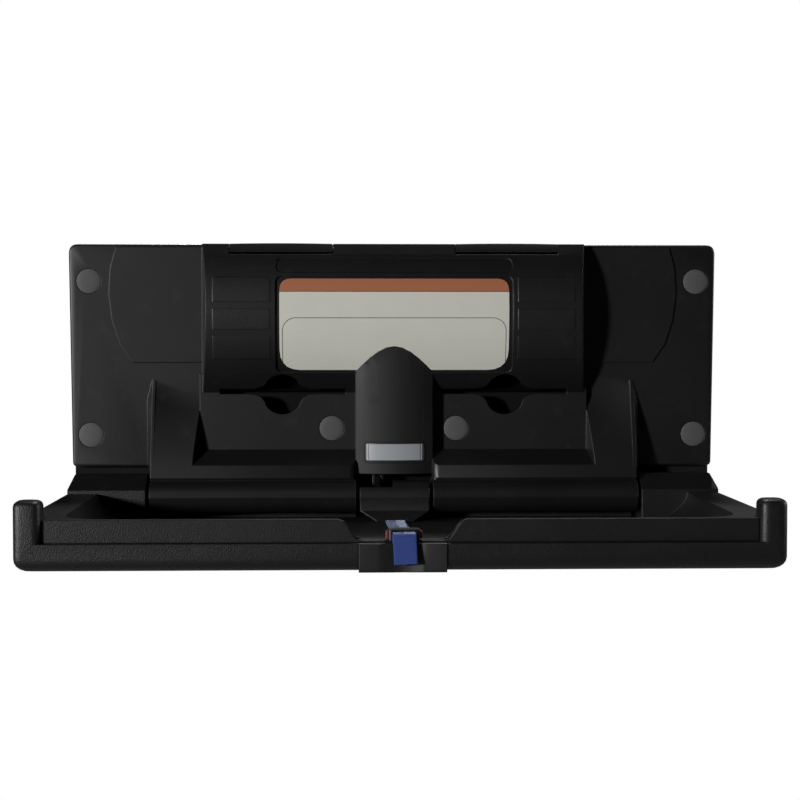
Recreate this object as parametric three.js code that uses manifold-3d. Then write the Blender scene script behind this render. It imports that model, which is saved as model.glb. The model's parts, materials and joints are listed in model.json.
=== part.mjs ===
// A wall-mounted baby changing station with a fold-down bed, standing open.
//
// Millimetres, +Z up. The wall is the plane Y = 0 and the origin is the middle of the back face on it.
// "Reach" is the distance in front of the wall, along -Y. Everything that folds is drawn about the hinge
// line, in a group of its own, so that turning that group about X closes the station.

import * as THREE from "three";
import { mergeVertices } from "three/addons/utils/BufferGeometryUtils.js";
import Module from "manifold-3d";

const wasm = await Module();
wasm.setup();

// Whole unit
const UNIT_WIDTH = 895;
const HALF_WIDTH = UNIT_WIDTH / 2;
const PANEL_TOP = 197.5;
const PANEL_BOTTOM = -197.5;
const SKIN = 4.5;
const FIT = 0.3;
const BEHIND = -3;

// Hinge line
const HINGE_REACH = 55;
const HINGE_Z = -145;
const HINGE_ROD_RADIUS = 5;
const ROD_END_GAP = 1;
const BARREL_RADIUS = 22;
const PARTING_RIDGE = 0.8;
const BED_SETBACK = 8;
const BED_HALF = HALF_WIDTH - BED_SETBACK;
const SIDE_KNUCKLE_WIDTH = 104.5;
const CENTRE_KNUCKLE_HALF = 47;
const KNUCKLE_GAP = 5;
const BARREL_INNER_END = CENTRE_KNUCKLE_HALF + KNUCKLE_GAP;
const SIDE_KNUCKLE_START = BED_HALF - SIDE_KNUCKLE_WIDTH;
const BARREL_OUTER_END = SIDE_KNUCKLE_START - KNUCKLE_GAP;

// Side wings of the wall panel
const WING_SETBACK = 4;
const WING_HALF = HALF_WIDTH - WING_SETBACK;
const WING_REACH = 26;
const WING_BOTTOM = -107;
const WING_TAPER = 4;
const WING_CORNER = 9;
const WING_FOOT_CORNER = 3;
const WING_EDGE = 4;
const PAD_RISE = 2;
const PAD_INNER = 250;
const PAD_OUTER = 387;
const PAD_BOTTOM = 36;
const PAD_BOTTOM_OUTER = 357;
const PAD_TOP_OUTER = 379;

// Thin lower plate behind the folding bed, and the stop that the bed leans on
const LOWER_REACH = 10;
const LOWER_SETBACK = 9.5;
const LOWER_HALF = HALF_WIDTH - LOWER_SETBACK;
const LOWER_LAP = 20;
const STOP_REACH = 20;
const STOP_TOP = -168;

// Ramps and ledge above the wall barrels
const RAMP_TOP = 12.5;
const RAMP_INNER_TOP = -11;
const RAMP_KNEE_REACH = 58;
const RAMP_KNEE_Z = -84;
const RAMP_FOOT = 7;
const LEDGE_REACH = 63;
const LEDGE_BOTTOM = -120;
const LEDGE_END_ROUND = 9;

// Pockets beside the column
const POCKET_REACH = 34;
const POCKET_TOP = 21;
const POCKET_BOTTOM = -83;
const POCKET_OUTER = 265;
const POCKET_DRAFT = 0.33;
const POCKET_SILL_DROP = 0.78;

// Bulge that houses the liner bins
const BULGE_UPPER_RADIUS = 150.5;
const BULGE_LOWER_RADIUS = 190;
const BULGE_REACH = 70;
const BULGE_Z = 106;
const BULGE_BOTTOM = -8;
const BULGE_HALF = 262;
const BULGE_DRAFT = 9;

// Centre column over the gas strut
const COLUMN_HALF = 52.5;
const COLUMN_REACH = 62.5;
const COLUMN_RADIUS = 115;
const COLUMN_TOP = 75;
const COLUMN_BOTTOM = -115;

// Label, badge and title recesses
const LABEL_HALF = 160.5;
const LABEL_LOW = 23;
const LABEL_HIGH = 152.5;
const LABEL_CORNER = 8;
const LABEL_SINK = 2.5;
const LABEL_THICK = 1.2;
const LABEL_SIDE_MARGIN = 5.5;
const LABEL_MARGIN = 3;
const PLATE_TOP_CORNER = 16;
const PLATE_FOOT_CORNER = 28;
const TITLE_LOW = 158;
const TITLE_HIGH = 178;
const TITLE_SINK = 1.8;
const BADGE_HALF = 39.2;
const BADGE_LOW = -97.5;
const BADGE_HIGH = -73;
const BADGE_CORNER = 4;
const BADGE_FRAME = 2.5;
const BADGE_FRAME_RISE = 0.8;
const BADGE_SINK = 0.8;
const BADGE_THICK = 1.4;

// Liner bins, their slots and their lids
const BIN_X = 152;
const BIN_HALF = 90;
const BIN_REACH = 37;
const BIN_TOP = 184;
const BIN_BOTTOM = -3;
const BIN_NECK = 22;
const BIN_NECK_REACH = 26;
const BIN_WALL = 2.5;
const SLOT_HALF = 85.5;
const SLOT_HEIGHT = 7;
const SLOT_Z = -3.6;
const THUMB_RADIUS = 27.5;
const THUMB_Z = -7.5;
const THUMB_FLARE = 46;
const LID_X = 153.5;
const LID_HALF = 69.5;
const LID_LOW = 186;
const LID_CROWN = 0.8;
const LID_GAP = 1.2;
const LID_FINGER_GAP = 3;
const LID_HINGE_REACH = 17;
const LID_HINGE_Z = 191;
const LID_BARREL_RADIUS = 4;
const LID_BACK = 13;
const LID_PIN_RADIUS = 1.5;
const LID_PIN_SEAT = 6;
const LID_LUG = 7;

// Mounting screw bosses and their caps
const CAP_RADIUS = 17;
const CAP_SINK = 1.5;
const CAP_RISE = 1.6;
const CAP_SKIRT_RADIUS = 11;
const CAP_SKIRT = 6;
const CAP_SKIRT_WALL = 2;
const BOSS_RADIUS = 20;
const SCREW_RADIUS = 4.5;
const HEAD_POCKET = 9;
const CAP_EDGE = 27.5;
const CAP_COLUMN_EDGE = 32.5;
const UPPER_SCREW_X = WING_HALF - CAP_EDGE;
const LOWER_SCREW_X = WING_HALF - WING_TAPER / 2 - CAP_EDGE;
const POCKET_SCREW_X = COLUMN_HALF + CAP_COLUMN_EDGE;
const UPPER_SCREW_Z = 147;
const LOWER_SCREW_Z = -63;
const POCKET_SCREW_Z = -54;
const SCREWS = [
  { x: -UPPER_SCREW_X, z: UPPER_SCREW_Z, reach: WING_REACH },
  { x: UPPER_SCREW_X, z: UPPER_SCREW_Z, reach: WING_REACH },
  { x: -LOWER_SCREW_X, z: LOWER_SCREW_Z, reach: WING_REACH },
  { x: LOWER_SCREW_X, z: LOWER_SCREW_Z, reach: WING_REACH },
  { x: -POCKET_SCREW_X, z: POCKET_SCREW_Z, reach: POCKET_REACH },
  { x: POCKET_SCREW_X, z: POCKET_SCREW_Z, reach: POCKET_REACH },
];

// Hinge bushes and rod end plugs
const BUSH_RADIUS = 9;
const BUSH_FLANGE_RADIUS = 14;
const PLUG_RADIUS = 9;
const PLUG_THICK = 3;
const HINGE_ROD_HALF = BED_HALF - PLUG_THICK - ROD_END_GAP;

// Gas strut in the column. Its rod slides straight down while the crank turns a quarter turn.
const STRUT_X = -22;
const CRANK_OFFSET = 19.8;
const CRANK_THICK = 6;
const CRANK_HUB_RADIUS = 12;
const CRANK_TIP = 6;
const CRANK_PIN_RADIUS = 3.5;
const CRANK_FOOT = 18;
const CRANK_FOOT_LOW = -10;
const CRANK_FOOT_HIGH = 8;
const CLEVIS_HALF = 7;
const CLEVIS_TINE = 4;
const CLEVIS_TOP = 28;
const CLEVIS_SLOT = 20;
const CLEVIS_NECK = 6;
const CLEVIS_GAP = 0.5;
const STRUT_ROD_RADIUS = 4;
const STRUT_ROD_LENGTH = 110;
const PISTON_HEIGHT = 8;
const CYLINDER_RADIUS = 10;
const CYLINDER_BORE = 7.5;
const CYLINDER_LOW = -86;
const CYLINDER_HIGH = 30;
const CYLINDER_END = 5;
const STRUT_EYE_Z = 42;
const STRUT_EYE_RADIUS = 9;
const STRUT_EYE_HALF = 6;
const STRUT_PIN_RADIUS = 4;
const BRACKET_THICK = 3;
const BRACKET_HALF_HEIGHT = 16;
const BRACKET_HALF_WIDTH = 20;

// Folding bed, about the hinge line: "out" is away from the wall and "up" is above the hinge, both open
const DOOR_OUT = 355;
const DOOR_REAR = -34.7;
const DOOR_BOTTOM = -54.5;
const DOOR_EDGE = 15;
const DOOR_CORNER = 10;
const RAIL_UP = -22;
const RAIL_DEPTH = 14;
const POST_WIDTH = 32;
const POST_DEPTH = 35;
const POST_UP = 27.5;
const POST_EDGE = 7;
const POST_ROOT = 12;
const RIM_UP = 5;
const RIM_WIDTH = 41.5;
const BAND_THICK = 12;
const BASIN_FLOOR_UP = -32;
const BASIN_SLOPE = 40;
const BASIN_CORNER = 55;
const NOTCH_HALF_LOW = 47;
const NOTCH_HALF_HIGH = 75;
const NOTCH_UP = -20;
const NOTCH_PLATE_IN = 60;

// Side knuckles of the bed
const KNUCKLE_TOP = 29;
const KNUCKLE_TOP_REAR = -26;
const KNUCKLE_TOP_OUT = -8;
const KNUCKLE_CREASE_OUT = 18;
const KNUCKLE_CREASE_UP = 10;
const KNUCKLE_FRONT_OUT = 20;
const KNUCKLE_SLANT = 6.5;
const KNUCKLE_TUBE_RADIUS = 11;

// Centre knuckle of the bed
const BAY_LEFT = -44;
const BAY_RIGHT = -2;
const BAY_OUT = 11;
const BAY_UP = 13;
const BAY_DOWN = -19;
const NOSE_HALF = 20;
const NOSE_OUT = 36;
const NOSE_BACK = 12;
const NOSE_SHOULDER_OUT = 23;
const NOSE_SHOULDER_UP = -18;

// Pull block in the middle of the front rail
const PULL_HALF = 51;
const PULL_SEAT = 10;
const PULL_PROUD = 1.5;
const PULL_DROP = 1.5;
const PULL_SCOOP_HALF = 36;
const PULL_SCOOP_DEPTH = 6;

// Safety strap and its side-release buckle
const STRAP_X = 1.5;
const STRAP_HALF = 13.5;
const STRAP_THICK = 1.6;
const STRAP_ROOT_OUT = 28;
const STRAP_REST_OUT = 60;
const BUCKLE_HALF = 18.5;
const BUCKLE_REAR = 327;
const BUCKLE_FRONT = 347;
const BUCKLE_HEIGHT = 13;
const BUCKLE_CORNER = 4;
const TONGUE_HALF = 18;
const TONGUE_REAR = 312;
const TONGUE_BAR = 4;
const TONGUE_THICK = 6;
const TONGUE_BLADE_HALF = 8;
const TONGUE_BLADE_IN = 10;
const TONGUE_BLADE_THICK = 3;
const PRONG_WIDTH = 6;
const PRONG_LENGTH = 13;
const PRONG_THICK = 8;
const PRONG_PROUD = 3;
const PRONG_TRAVEL = 2.5;
const TAIL_BELOW_TOP = 4.6;
const TAIL_GRIP = 2.4;
const TAIL_DROP = 34;
const TAIL_CLEAR = 1;
const TAIL_BEND = 4;

// Facets
const CURVE_STEPS = 5;
const ROUND_SIDES = 16;
const BULGE_STEPS = 14;
const RAMP_STEPS = 7;
const SCOOP_STEPS = 16;
const EDGE_STEPS = 3;
const MERGE_DISTANCE = 1e-4;

const SIDES = [-1, 1];

// Solids from three.js geometry

function solidOf(geometry) {
  const bare = geometry.clone();
  bare.deleteAttribute("normal");
  bare.deleteAttribute("uv");
  const merged = mergeVertices(bare, MERGE_DISTANCE);
  const mesh = new wasm.Mesh({
    numProp: 3,
    vertProperties: new Float32Array(merged.getAttribute("position").array),
    triVerts: new Uint32Array(merged.index.array),
  });
  return new wasm.Manifold(mesh);
}

function geometryOf(solid) {
  const mesh = solid.getMesh();
  const geometry = new THREE.BufferGeometry();
  geometry.setAttribute("position", new THREE.BufferAttribute(new Float32Array(mesh.vertProperties), 3));
  geometry.setIndex(new THREE.BufferAttribute(new Uint32Array(mesh.triVerts), 1));
  geometry.computeVertexNormals();
  return geometry;
}

function joined(solids) {
  return solids.reduce((whole, next) => whole.add(next));
}

function cut(solid, tools) {
  return tools.reduce((rest, tool) => rest.subtract(tool), solid);
}

// An outline through corners [a, b, rounding], where the rounding is optional.
function outline(corners) {
  const shape = new THREE.Shape();
  const count = corners.length;
  corners.forEach(([a, b, rounding = 0], index) => {
    const corner = new THREE.Vector2(a, b);
    const [beforeA, beforeB] = corners[(index + count - 1) % count];
    const [afterA, afterB] = corners[(index + 1) % count];
    const start = new THREE.Vector2(beforeA, beforeB).sub(corner).setLength(rounding).add(corner);
    const end = new THREE.Vector2(afterA, afterB).sub(corner).setLength(rounding).add(corner);
    if (index === 0) {
      shape.moveTo(start.x, start.y);
    } else {
      shape.lineTo(start.x, start.y);
    }
    if (rounding > 0) {
      shape.quadraticCurveTo(corner.x, corner.y, end.x, end.y);
    }
  });
  return shape;
}

function rectangle(a0, b0, a1, b1, rounding = 0) {
  return outline([
    [a0, b0, rounding],
    [a1, b0, rounding],
    [a1, b1, rounding],
    [a0, b1, rounding],
  ]);
}

const X_AXIS = new THREE.Vector3(1, 0, 0);
const Z_AXIS = new THREE.Vector3(0, 0, 1);
const OUT_AXIS = new THREE.Vector3(0, -1, 0);
const SIDE_PLANE = new THREE.Matrix4().makeBasis(OUT_AXIS, Z_AXIS, X_AXIS.clone().negate());
const FRONT_PLANE = new THREE.Matrix4().makeBasis(X_AXIS, Z_AXIS, OUT_AXIS);
const TOP_PLANE = new THREE.Matrix4().makeBasis(X_AXIS, OUT_AXIS, Z_AXIS.clone().negate());

function extruded(shape, depth, bevel = {}) {
  return new THREE.ExtrudeGeometry(shape, {
    depth,
    bevelEnabled: false,
    curveSegments: CURVE_STEPS,
    ...bevel,
  });
}

// A side view (reach, z) carried along X.
function alongX(shape, x0, x1) {
  return solidOf(extruded(shape, x1 - x0).applyMatrix4(SIDE_PLANE).translate(x1, 0, 0));
}

// A front view (x, z) carried outwards from one reach to another.
function alongReach(shape, reach0, reach1, bevel) {
  return solidOf(extruded(shape, reach1 - reach0, bevel).applyMatrix4(FRONT_PLANE).translate(0, -reach0, 0));
}

// A plan (x, reach) carried upwards.
function alongZ(shape, z0, z1) {
  return solidOf(extruded(shape, z1 - z0).applyMatrix4(TOP_PLANE).translate(0, 0, z1));
}

function box(x0, x1, reach0, reach1, z0, z1) {
  const geometry = new THREE.BoxGeometry(x1 - x0, reach1 - reach0, z1 - z0);
  return solidOf(geometry.translate((x0 + x1) / 2, -(reach0 + reach1) / 2, (z0 + z1) / 2));
}

function rodX(radius, x0, x1, reach, z, sides = ROUND_SIDES) {
  const geometry = new THREE.CylinderGeometry(radius, radius, x1 - x0, sides);
  return solidOf(geometry.rotateZ(Math.PI / 2).translate((x0 + x1) / 2, -reach, z));
}

function rodOut(radius, reach0, reach1, x, z, sides = ROUND_SIDES) {
  const geometry = new THREE.CylinderGeometry(radius, radius, reach1 - reach0, sides);
  return solidOf(geometry.translate(x, -(reach0 + reach1) / 2, z));
}

function rodZ(radius, z0, z1, x, reach, sides = ROUND_SIDES) {
  const geometry = new THREE.CylinderGeometry(radius, radius, z1 - z0, sides);
  return solidOf(geometry.rotateX(Math.PI / 2).translate(x, -reach, (z0 + z1) / 2));
}

function signedVolume(points, triangles) {
  let volume = 0;
  for (let index = 0; index < triangles.length; index += 3) {
    const [a, b, c] = [points[triangles[index]], points[triangles[index + 1]], points[triangles[index + 2]]];
    volume += a.dot(b.clone().cross(c)) / 6;
  }
  return volume;
}

// A closed solid through rings of equal length. flatten gives a ring point's place in the ring's own plane.
function loft(rings, flatten) {
  const count = rings[0].length;
  const points = rings.flat();
  const triangles = [];
  for (let ring = 0; ring + 1 < rings.length; ring += 1) {
    for (let index = 0; index < count; index += 1) {
      const a = ring * count + index;
      const b = ring * count + ((index + 1) % count);
      triangles.push(a, b, b + count, a, b + count, a + count);
    }
  }
  const addCap = (ring, forward) => {
    const flat = rings[ring].map(flatten);
    const turn = Math.sign(THREE.ShapeUtils.area(flat));
    THREE.ShapeUtils.triangulateShape(flat, []).forEach(([i, j, k]) => {
      const same = Math.sign(THREE.ShapeUtils.area([flat[i], flat[j], flat[k]])) === turn;
      const [second, third] = same === forward ? [j, k] : [k, j];
      triangles.push(ring * count + i, ring * count + second, ring * count + third);
    });
  };
  addCap(0, false);
  addCap(rings.length - 1, true);
  if (signedVolume(points, triangles) < 0) {
    triangles.reverse();
  }
  const geometry = new THREE.BufferGeometry();
  geometry.setAttribute("position", new THREE.Float32BufferAttribute(points.flatMap((p) => p.toArray()), 3));
  geometry.setIndex(triangles);
  return solidOf(geometry);
}

const fromSide = (point) => new THREE.Vector2(-point.y, point.z);
const fromAbove = (point) => new THREE.Vector2(point.x, -point.y);

// A level ring of a rounded rectangle in plan.
function planRing(x0, x1, reach0, reach1, rounding, z) {
  const points = rectangle(x0, reach0, x1, reach1, rounding).extractPoints(CURVE_STEPS).shape;
  const open = points[0].equals(points.at(-1)) ? points.slice(0, -1) : points;
  return open.map((point) => new THREE.Vector3(point.x, -point.y, z));
}

// Wall panel. Every form is drawn once and again smaller by the skin, so that the moulding is hollow.

function wingForm(inset) {
  const edge = Math.max(1, WING_EDGE - inset);
  const half = WING_HALF - inset;
  const top = PANEL_TOP - inset;
  const bottom = WING_BOTTOM + inset;
  const shape = outline([
    [-half, top, WING_CORNER + edge],
    [half, top, WING_CORNER + edge],
    [half - WING_TAPER, bottom, WING_FOOT_CORNER + edge],
    [-half + WING_TAPER, bottom, WING_FOOT_CORNER + edge],
  ]);
  const bevel = {
    bevelEnabled: true,
    bevelThickness: edge,
    bevelSize: edge,
    bevelOffset: -edge,
    bevelSegments: EDGE_STEPS,
  };
  return alongReach(shape, BEHIND - edge, WING_REACH - inset - edge, bevel);
}

function lowerForm(inset) {
  const half = LOWER_HALF - inset;
  return box(-half, half, BEHIND, LOWER_REACH - inset, PANEL_BOTTOM + inset, WING_BOTTOM + LOWER_LAP);
}

// Side view of the ramp, ledge, barrel and stop at one distance from the middle.
function railSection(distance, inset) {
  const spread = (distance - POCKET_OUTER) / (BARREL_OUTER_END - POCKET_OUTER);
  const top = RAMP_INNER_TOP + (RAMP_TOP - RAMP_INNER_TOP) * THREE.MathUtils.clamp(spread, 0, 1) ** 2;
  const round = LEDGE_END_ROUND;
  const fromEnd = THREE.MathUtils.clamp(distance - BARREL_INNER_END, 0, round);
  const drop = inset + round - Math.sqrt(round ** 2 - (round - fromEnd) ** 2);
  const sweep = new THREE.QuadraticBezierCurve(
    new THREE.Vector2(WING_REACH - inset, top),
    new THREE.Vector2(RAMP_KNEE_REACH - drop, RAMP_KNEE_Z),
    new THREE.Vector2(LEDGE_REACH - drop, LEDGE_BOTTOM),
  );
  const radius = BARREL_RADIUS - inset;
  const barrel = (start, end, steps) =>
    new THREE.EllipseCurve(HINGE_REACH, HINGE_Z, radius, radius, start, end, true).getPoints(steps);
  const ridge = Math.PI * 0.03;
  return [
    new THREE.Vector2(BEHIND, top),
    ...sweep.getPoints(RAMP_STEPS),
    ...barrel(Math.PI * 0.42, ridge, CURVE_STEPS),
    new THREE.Vector2(HINGE_REACH + radius + PARTING_RIDGE, HINGE_Z),
    ...barrel(-ridge, -Math.PI * 0.62, CURVE_STEPS),
    new THREE.Vector2(STOP_REACH - inset, STOP_TOP + inset),
    new THREE.Vector2(STOP_REACH - inset, PANEL_BOTTOM + inset),
    new THREE.Vector2(BEHIND, PANEL_BOTTOM + inset),
  ];
}

function railForm(side, inset) {
  const stations = [0, 0.2, 0.5, 1].map((share) => BARREL_INNER_END + inset + share * LEDGE_END_ROUND);
  const sweepSteps = 5;
  for (let step = 0; step <= sweepSteps; step += 1) {
    stations.push(THREE.MathUtils.lerp(POCKET_OUTER, BARREL_OUTER_END - inset, step / sweepSteps));
  }
  const rings = stations.map((distance) =>
    railSection(distance + inset, inset).map((p) => new THREE.Vector3(side * distance, -p.x, p.y)),
  );
  return loft(rings, fromSide).add(rampFoot(side, inset));
}

// Drafted outer side of a ramp, from its curve out to the face of the wing.
function rampFoot(side, inset) {
  const curve = railSection(BARREL_OUTER_END, inset).slice(0, RAMP_STEPS + 2);
  const section = [...curve, new THREE.Vector2(BEHIND, LEDGE_BOTTOM)];
  const face = WING_REACH - inset;
  const sunk = (reach) => Math.min(reach, face - FIT + 0.02 * (reach - face));
  const end = BARREL_OUTER_END - inset;
  const rings = [
    section.map((p) => new THREE.Vector3(side * (end - SKIN), -p.x, p.y)),
    section.map((p) => new THREE.Vector3(side * end, -p.x, p.y)),
    section.map((p) => new THREE.Vector3(side * (end + RAMP_FOOT), -sunk(p.x), p.y)),
  ];
  const below = box(-UNIT_WIDTH, UNIT_WIDTH, 2 * BEHIND, UNIT_WIDTH, PANEL_BOTTOM, WING_BOTTOM + inset);
  return loft(rings, fromSide).subtract(below);
}

// The pocket beside the column, with drafted side and sill. It grows with the skin on the inside.
function pocketTool(side, inset) {
  const deep = LEDGE_REACH - POCKET_REACH;
  const ringAt = (reach, spread) => {
    const inner = side * (COLUMN_HALF - SKIN - inset);
    const outer = side * (POCKET_OUTER + inset + POCKET_DRAFT * spread);
    const low = POCKET_BOTTOM - inset - POCKET_SILL_DROP * spread;
    const high = POCKET_TOP;
    return [
      new THREE.Vector3(inner, -reach, low),
      new THREE.Vector3(outer, -reach, low),
      new THREE.Vector3(outer, -reach, high),
      new THREE.Vector3(inner, -reach, high),
    ];
  };
  const floor = POCKET_REACH - inset;
  return loft([ringAt(floor, 0), ringAt(floor + 2 * deep, 2 * deep)], (p) => new THREE.Vector2(p.x, p.z));
}

function pocketFloorForm(side, inset) {
  const inner = COLUMN_HALF - SKIN;
  const outer = POCKET_OUTER - inset;
  const [x0, x1] = side > 0 ? [inner, outer] : [-outer, -inner];
  return box(x0, x1, BEHIND, POCKET_REACH - inset, POCKET_BOTTOM - SKIN, POCKET_TOP);
}

// Reach of the bulge's face at a height: a tighter arc above its crest than below. change grows both.
function bulgeReachAt(z, change) {
  const radius = z > BULGE_Z ? BULGE_UPPER_RADIUS : BULGE_LOWER_RADIUS;
  return BULGE_REACH - radius + Math.sqrt((radius + change) ** 2 - (z - BULGE_Z) ** 2);
}

// Side view of a layer of the bulge: everything behind its face, moved by a change of radius.
function bulgeSection(change, low, high, back) {
  const shape = new THREE.Shape();
  shape.moveTo(back, low);
  for (let step = 0; step <= BULGE_STEPS; step += 1) {
    const z = THREE.MathUtils.lerp(low, high, step / BULGE_STEPS);
    shape.lineTo(bulgeReachAt(z, change), z);
  }
  shape.lineTo(back, high);
  return shape;
}

function bulgeForm(inset) {
  const section = bulgeSection(-inset, BULGE_BOTTOM + inset, PANEL_TOP - inset, BEHIND);
  const half = BULGE_HALF - inset;
  const tip = half - BULGE_DRAFT;
  const round = BULGE_DRAFT / 2;
  const plan = outline([
    [-half, BEHIND],
    [half, BEHIND],
    [half, WING_REACH - inset],
    [tip, BULGE_REACH + round, round],
    [-tip, BULGE_REACH + round, round],
    [-half, WING_REACH - inset],
  ]);
  return alongX(section, -HALF_WIDTH, HALF_WIDTH).intersect(alongZ(plan, PANEL_BOTTOM, PANEL_TOP));
}

// Plan of the column's curved front, out to a given change of reach.
function columnPlan(half, change, back) {
  const shape = new THREE.Shape();
  const centre = COLUMN_REACH - COLUMN_RADIUS;
  const radius = COLUMN_RADIUS + change;
  const angle = Math.asin(half / radius);
  shape.moveTo(-half, back);
  shape.lineTo(half, back);
  shape.absarc(0, centre, radius, Math.PI / 2 - angle, Math.PI / 2 + angle, false);
  return shape;
}

function columnForm(inset) {
  return alongZ(columnPlan(COLUMN_HALF - inset, -inset, BEHIND), COLUMN_BOTTOM + inset, COLUMN_TOP);
}

function panelForm(inset) {
  const rails = SIDES.map((side) => railForm(side, inset).subtract(pocketTool(side, inset)));
  const floors = SIDES.map((side) => pocketFloorForm(side, inset));
  return joined([wingForm(inset), lowerForm(inset), ...rails, ...floors, bulgeForm(inset), columnForm(inset)]);
}

// Raised D-shaped pad on a wing, between the bulge and a curved outer edge.
function wingPad(side) {
  const shape = new THREE.Shape();
  shape.moveTo(side * PAD_INNER, PAD_BOTTOM);
  shape.lineTo(side * PAD_BOTTOM_OUTER, PAD_BOTTOM);
  shape.bezierCurveTo(
    side * (PAD_OUTER + 4), (PAD_BOTTOM + BULGE_Z) / 2,
    side * (PAD_OUTER + 10), (PANEL_TOP + BULGE_Z) / 2,
    side * PAD_TOP_OUTER, PANEL_TOP - WING_EDGE,
  );
  shape.lineTo(side * PAD_INNER, PANEL_TOP - WING_EDGE);
  return alongReach(shape, WING_REACH - SKIN / 2, WING_REACH + PAD_RISE);
}

// Liner slot with a thumb hole in its middle and flared joins.
function slotTool(side) {
  const half = SLOT_HEIGHT / 2;
  const lift = SLOT_Z - THUMB_Z;
  const upper = Math.PI * 0.24;
  const lower = Math.PI * 0.2;
  const upperX = THUMB_RADIUS * Math.cos(upper);
  const upperZ = THUMB_RADIUS * Math.sin(upper);
  const lowerX = THUMB_RADIUS * Math.cos(lower);
  const lowerZ = -THUMB_RADIUS * Math.sin(lower);
  const shape = new THREE.Shape();
  shape.moveTo(-SLOT_HALF, lift + half);
  shape.lineTo(-THUMB_FLARE, lift + half);
  shape.quadraticCurveTo(-upperX - half, lift + half, -upperX, upperZ);
  shape.absarc(0, 0, THUMB_RADIUS, Math.PI - upper, upper, true);
  shape.quadraticCurveTo(upperX + half, lift + half, THUMB_FLARE, lift + half);
  shape.lineTo(SLOT_HALF, lift + half);
  shape.lineTo(SLOT_HALF, lift - half);
  shape.lineTo(THUMB_FLARE, lift - half);
  shape.quadraticCurveTo(lowerX + half, lift - half, lowerX, lowerZ);
  shape.absarc(0, 0, THUMB_RADIUS, -lower, lower - Math.PI, true);
  shape.quadraticCurveTo(-lowerX - half, lift - half, -THUMB_FLARE, lift - half);
  shape.lineTo(-SLOT_HALF, lift - half);
  const tool = alongReach(shape, POCKET_REACH - 2 * SKIN, BULGE_REACH);
  return tool.translate([side * BIN_X, 0, THUMB_Z]);
}

function lidOpening(side) {
  const half = LID_HALF + LID_GAP;
  const low = LID_LOW - LID_FINGER_GAP;
  return box(
    side * LID_X - half, side * LID_X + half,
    LID_BACK - LID_GAP - LID_BARREL_RADIUS, BULGE_REACH,
    low, PANEL_TOP + SKIN,
  );
}

// Lug under the panel's top that takes one end of a lid's pin.
function lidLug(x0, x1) {
  const half = LID_BARREL_RADIUS;
  return box(
    x0, x1, LID_HINGE_REACH - half, LID_HINGE_REACH + half, LID_HINGE_Z - half, PANEL_TOP - SKIN / 2,
  );
}

function lidLugs(side) {
  const inner = LID_HALF + LID_GAP;
  const outer = inner + LID_LUG;
  const centre = side * LID_X;
  return [lidLug(centre - outer, centre - inner), lidLug(centre + inner, centre + outer)];
}

function lidPinBore(side) {
  const half = LID_HALF + LID_GAP + LID_PIN_SEAT;
  const centre = side * LID_X;
  return rodX(LID_PIN_RADIUS + FIT, centre - half - FIT, centre + half + FIT, LID_HINGE_REACH, LID_HINGE_Z, 12);
}

function screwBoss({ x, z, reach }) {
  return rodOut(BOSS_RADIUS, SKIN + FIT, reach - CAP_SINK, x, z);
}

function screwBore({ x, z, reach }) {
  return joined([
    rodOut(SCREW_RADIUS, BEHIND, reach + SKIN, x, z, 12),
    rodOut(CAP_SKIRT_RADIUS + FIT, reach - CAP_SINK - HEAD_POCKET, reach + SKIN, x, z),
    rodOut(CAP_RADIUS + FIT, reach - CAP_SINK, reach + SKIN, x, z),
  ]);
}

// A layer of the bulge's curved face between two changes of radius, cut to a front view.
function faceLayer(shape, inner, outer, low, high) {
  const layer = alongX(bulgeSection(outer, low, high, BEHIND), -HALF_WIDTH, HALF_WIDTH)
    .subtract(alongX(bulgeSection(inner, low - SKIN, high + SKIN, 2 * BEHIND), -UNIT_WIDTH, UNIT_WIDTH));
  return layer.intersect(alongReach(shape, 0, BULGE_REACH + SKIN));
}

function labelRecess() {
  const shape = rectangle(-LABEL_HALF, LABEL_LOW, LABEL_HALF, LABEL_HIGH, LABEL_CORNER);
  return faceLayer(shape, -LABEL_SINK, SKIN, LABEL_LOW, LABEL_HIGH).subtract(columnForm(0));
}

function titleRecess() {
  const end = (TITLE_HIGH - TITLE_LOW) / 2;
  const shape = rectangle(-LABEL_HALF, TITLE_LOW, LABEL_HALF, TITLE_HIGH, end);
  return faceLayer(shape, -TITLE_SINK, SKIN, TITLE_LOW, TITLE_HIGH);
}

// A layer of the column's curved front between two changes of reach, cut to a front view.
function columnLayer(half, low, high, rounding, inner, outer) {
  const layer = alongZ(columnPlan(half, outer, 0), low, high)
    .subtract(alongZ(columnPlan(COLUMN_HALF, inner, BEHIND), low - SKIN, high + SKIN));
  return layer.intersect(alongReach(rectangle(-half, low, half, high, rounding), 0, COLUMN_REACH + SKIN));
}

function badgeFrame() {
  const half = BADGE_HALF + BADGE_FRAME;
  const [low, high] = [BADGE_LOW - BADGE_FRAME, BADGE_HIGH + BADGE_FRAME];
  return columnLayer(half, low, high, BADGE_CORNER + BADGE_FRAME, -SKIN / 2, BADGE_FRAME_RISE);
}

function strutOpening() {
  const half = CLEVIS_HALF + CLEVIS_TINE;
  const reach = HINGE_REACH - CRANK_OFFSET;
  return box(STRUT_X - half, STRUT_X + half, reach - half, reach + half, COLUMN_BOTTOM - SKIN, CYLINDER_LOW);
}

function bushBores() {
  const radius = BUSH_RADIUS + FIT;
  return SIDES.map((side) => {
    const [x0, x1] = [side * BARREL_INNER_END - side * SKIN, side * BARREL_OUTER_END + side * SKIN];
    return rodX(radius, Math.min(x0, x1), Math.max(x0, x1), HINGE_REACH, HINGE_Z);
  });
}

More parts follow.
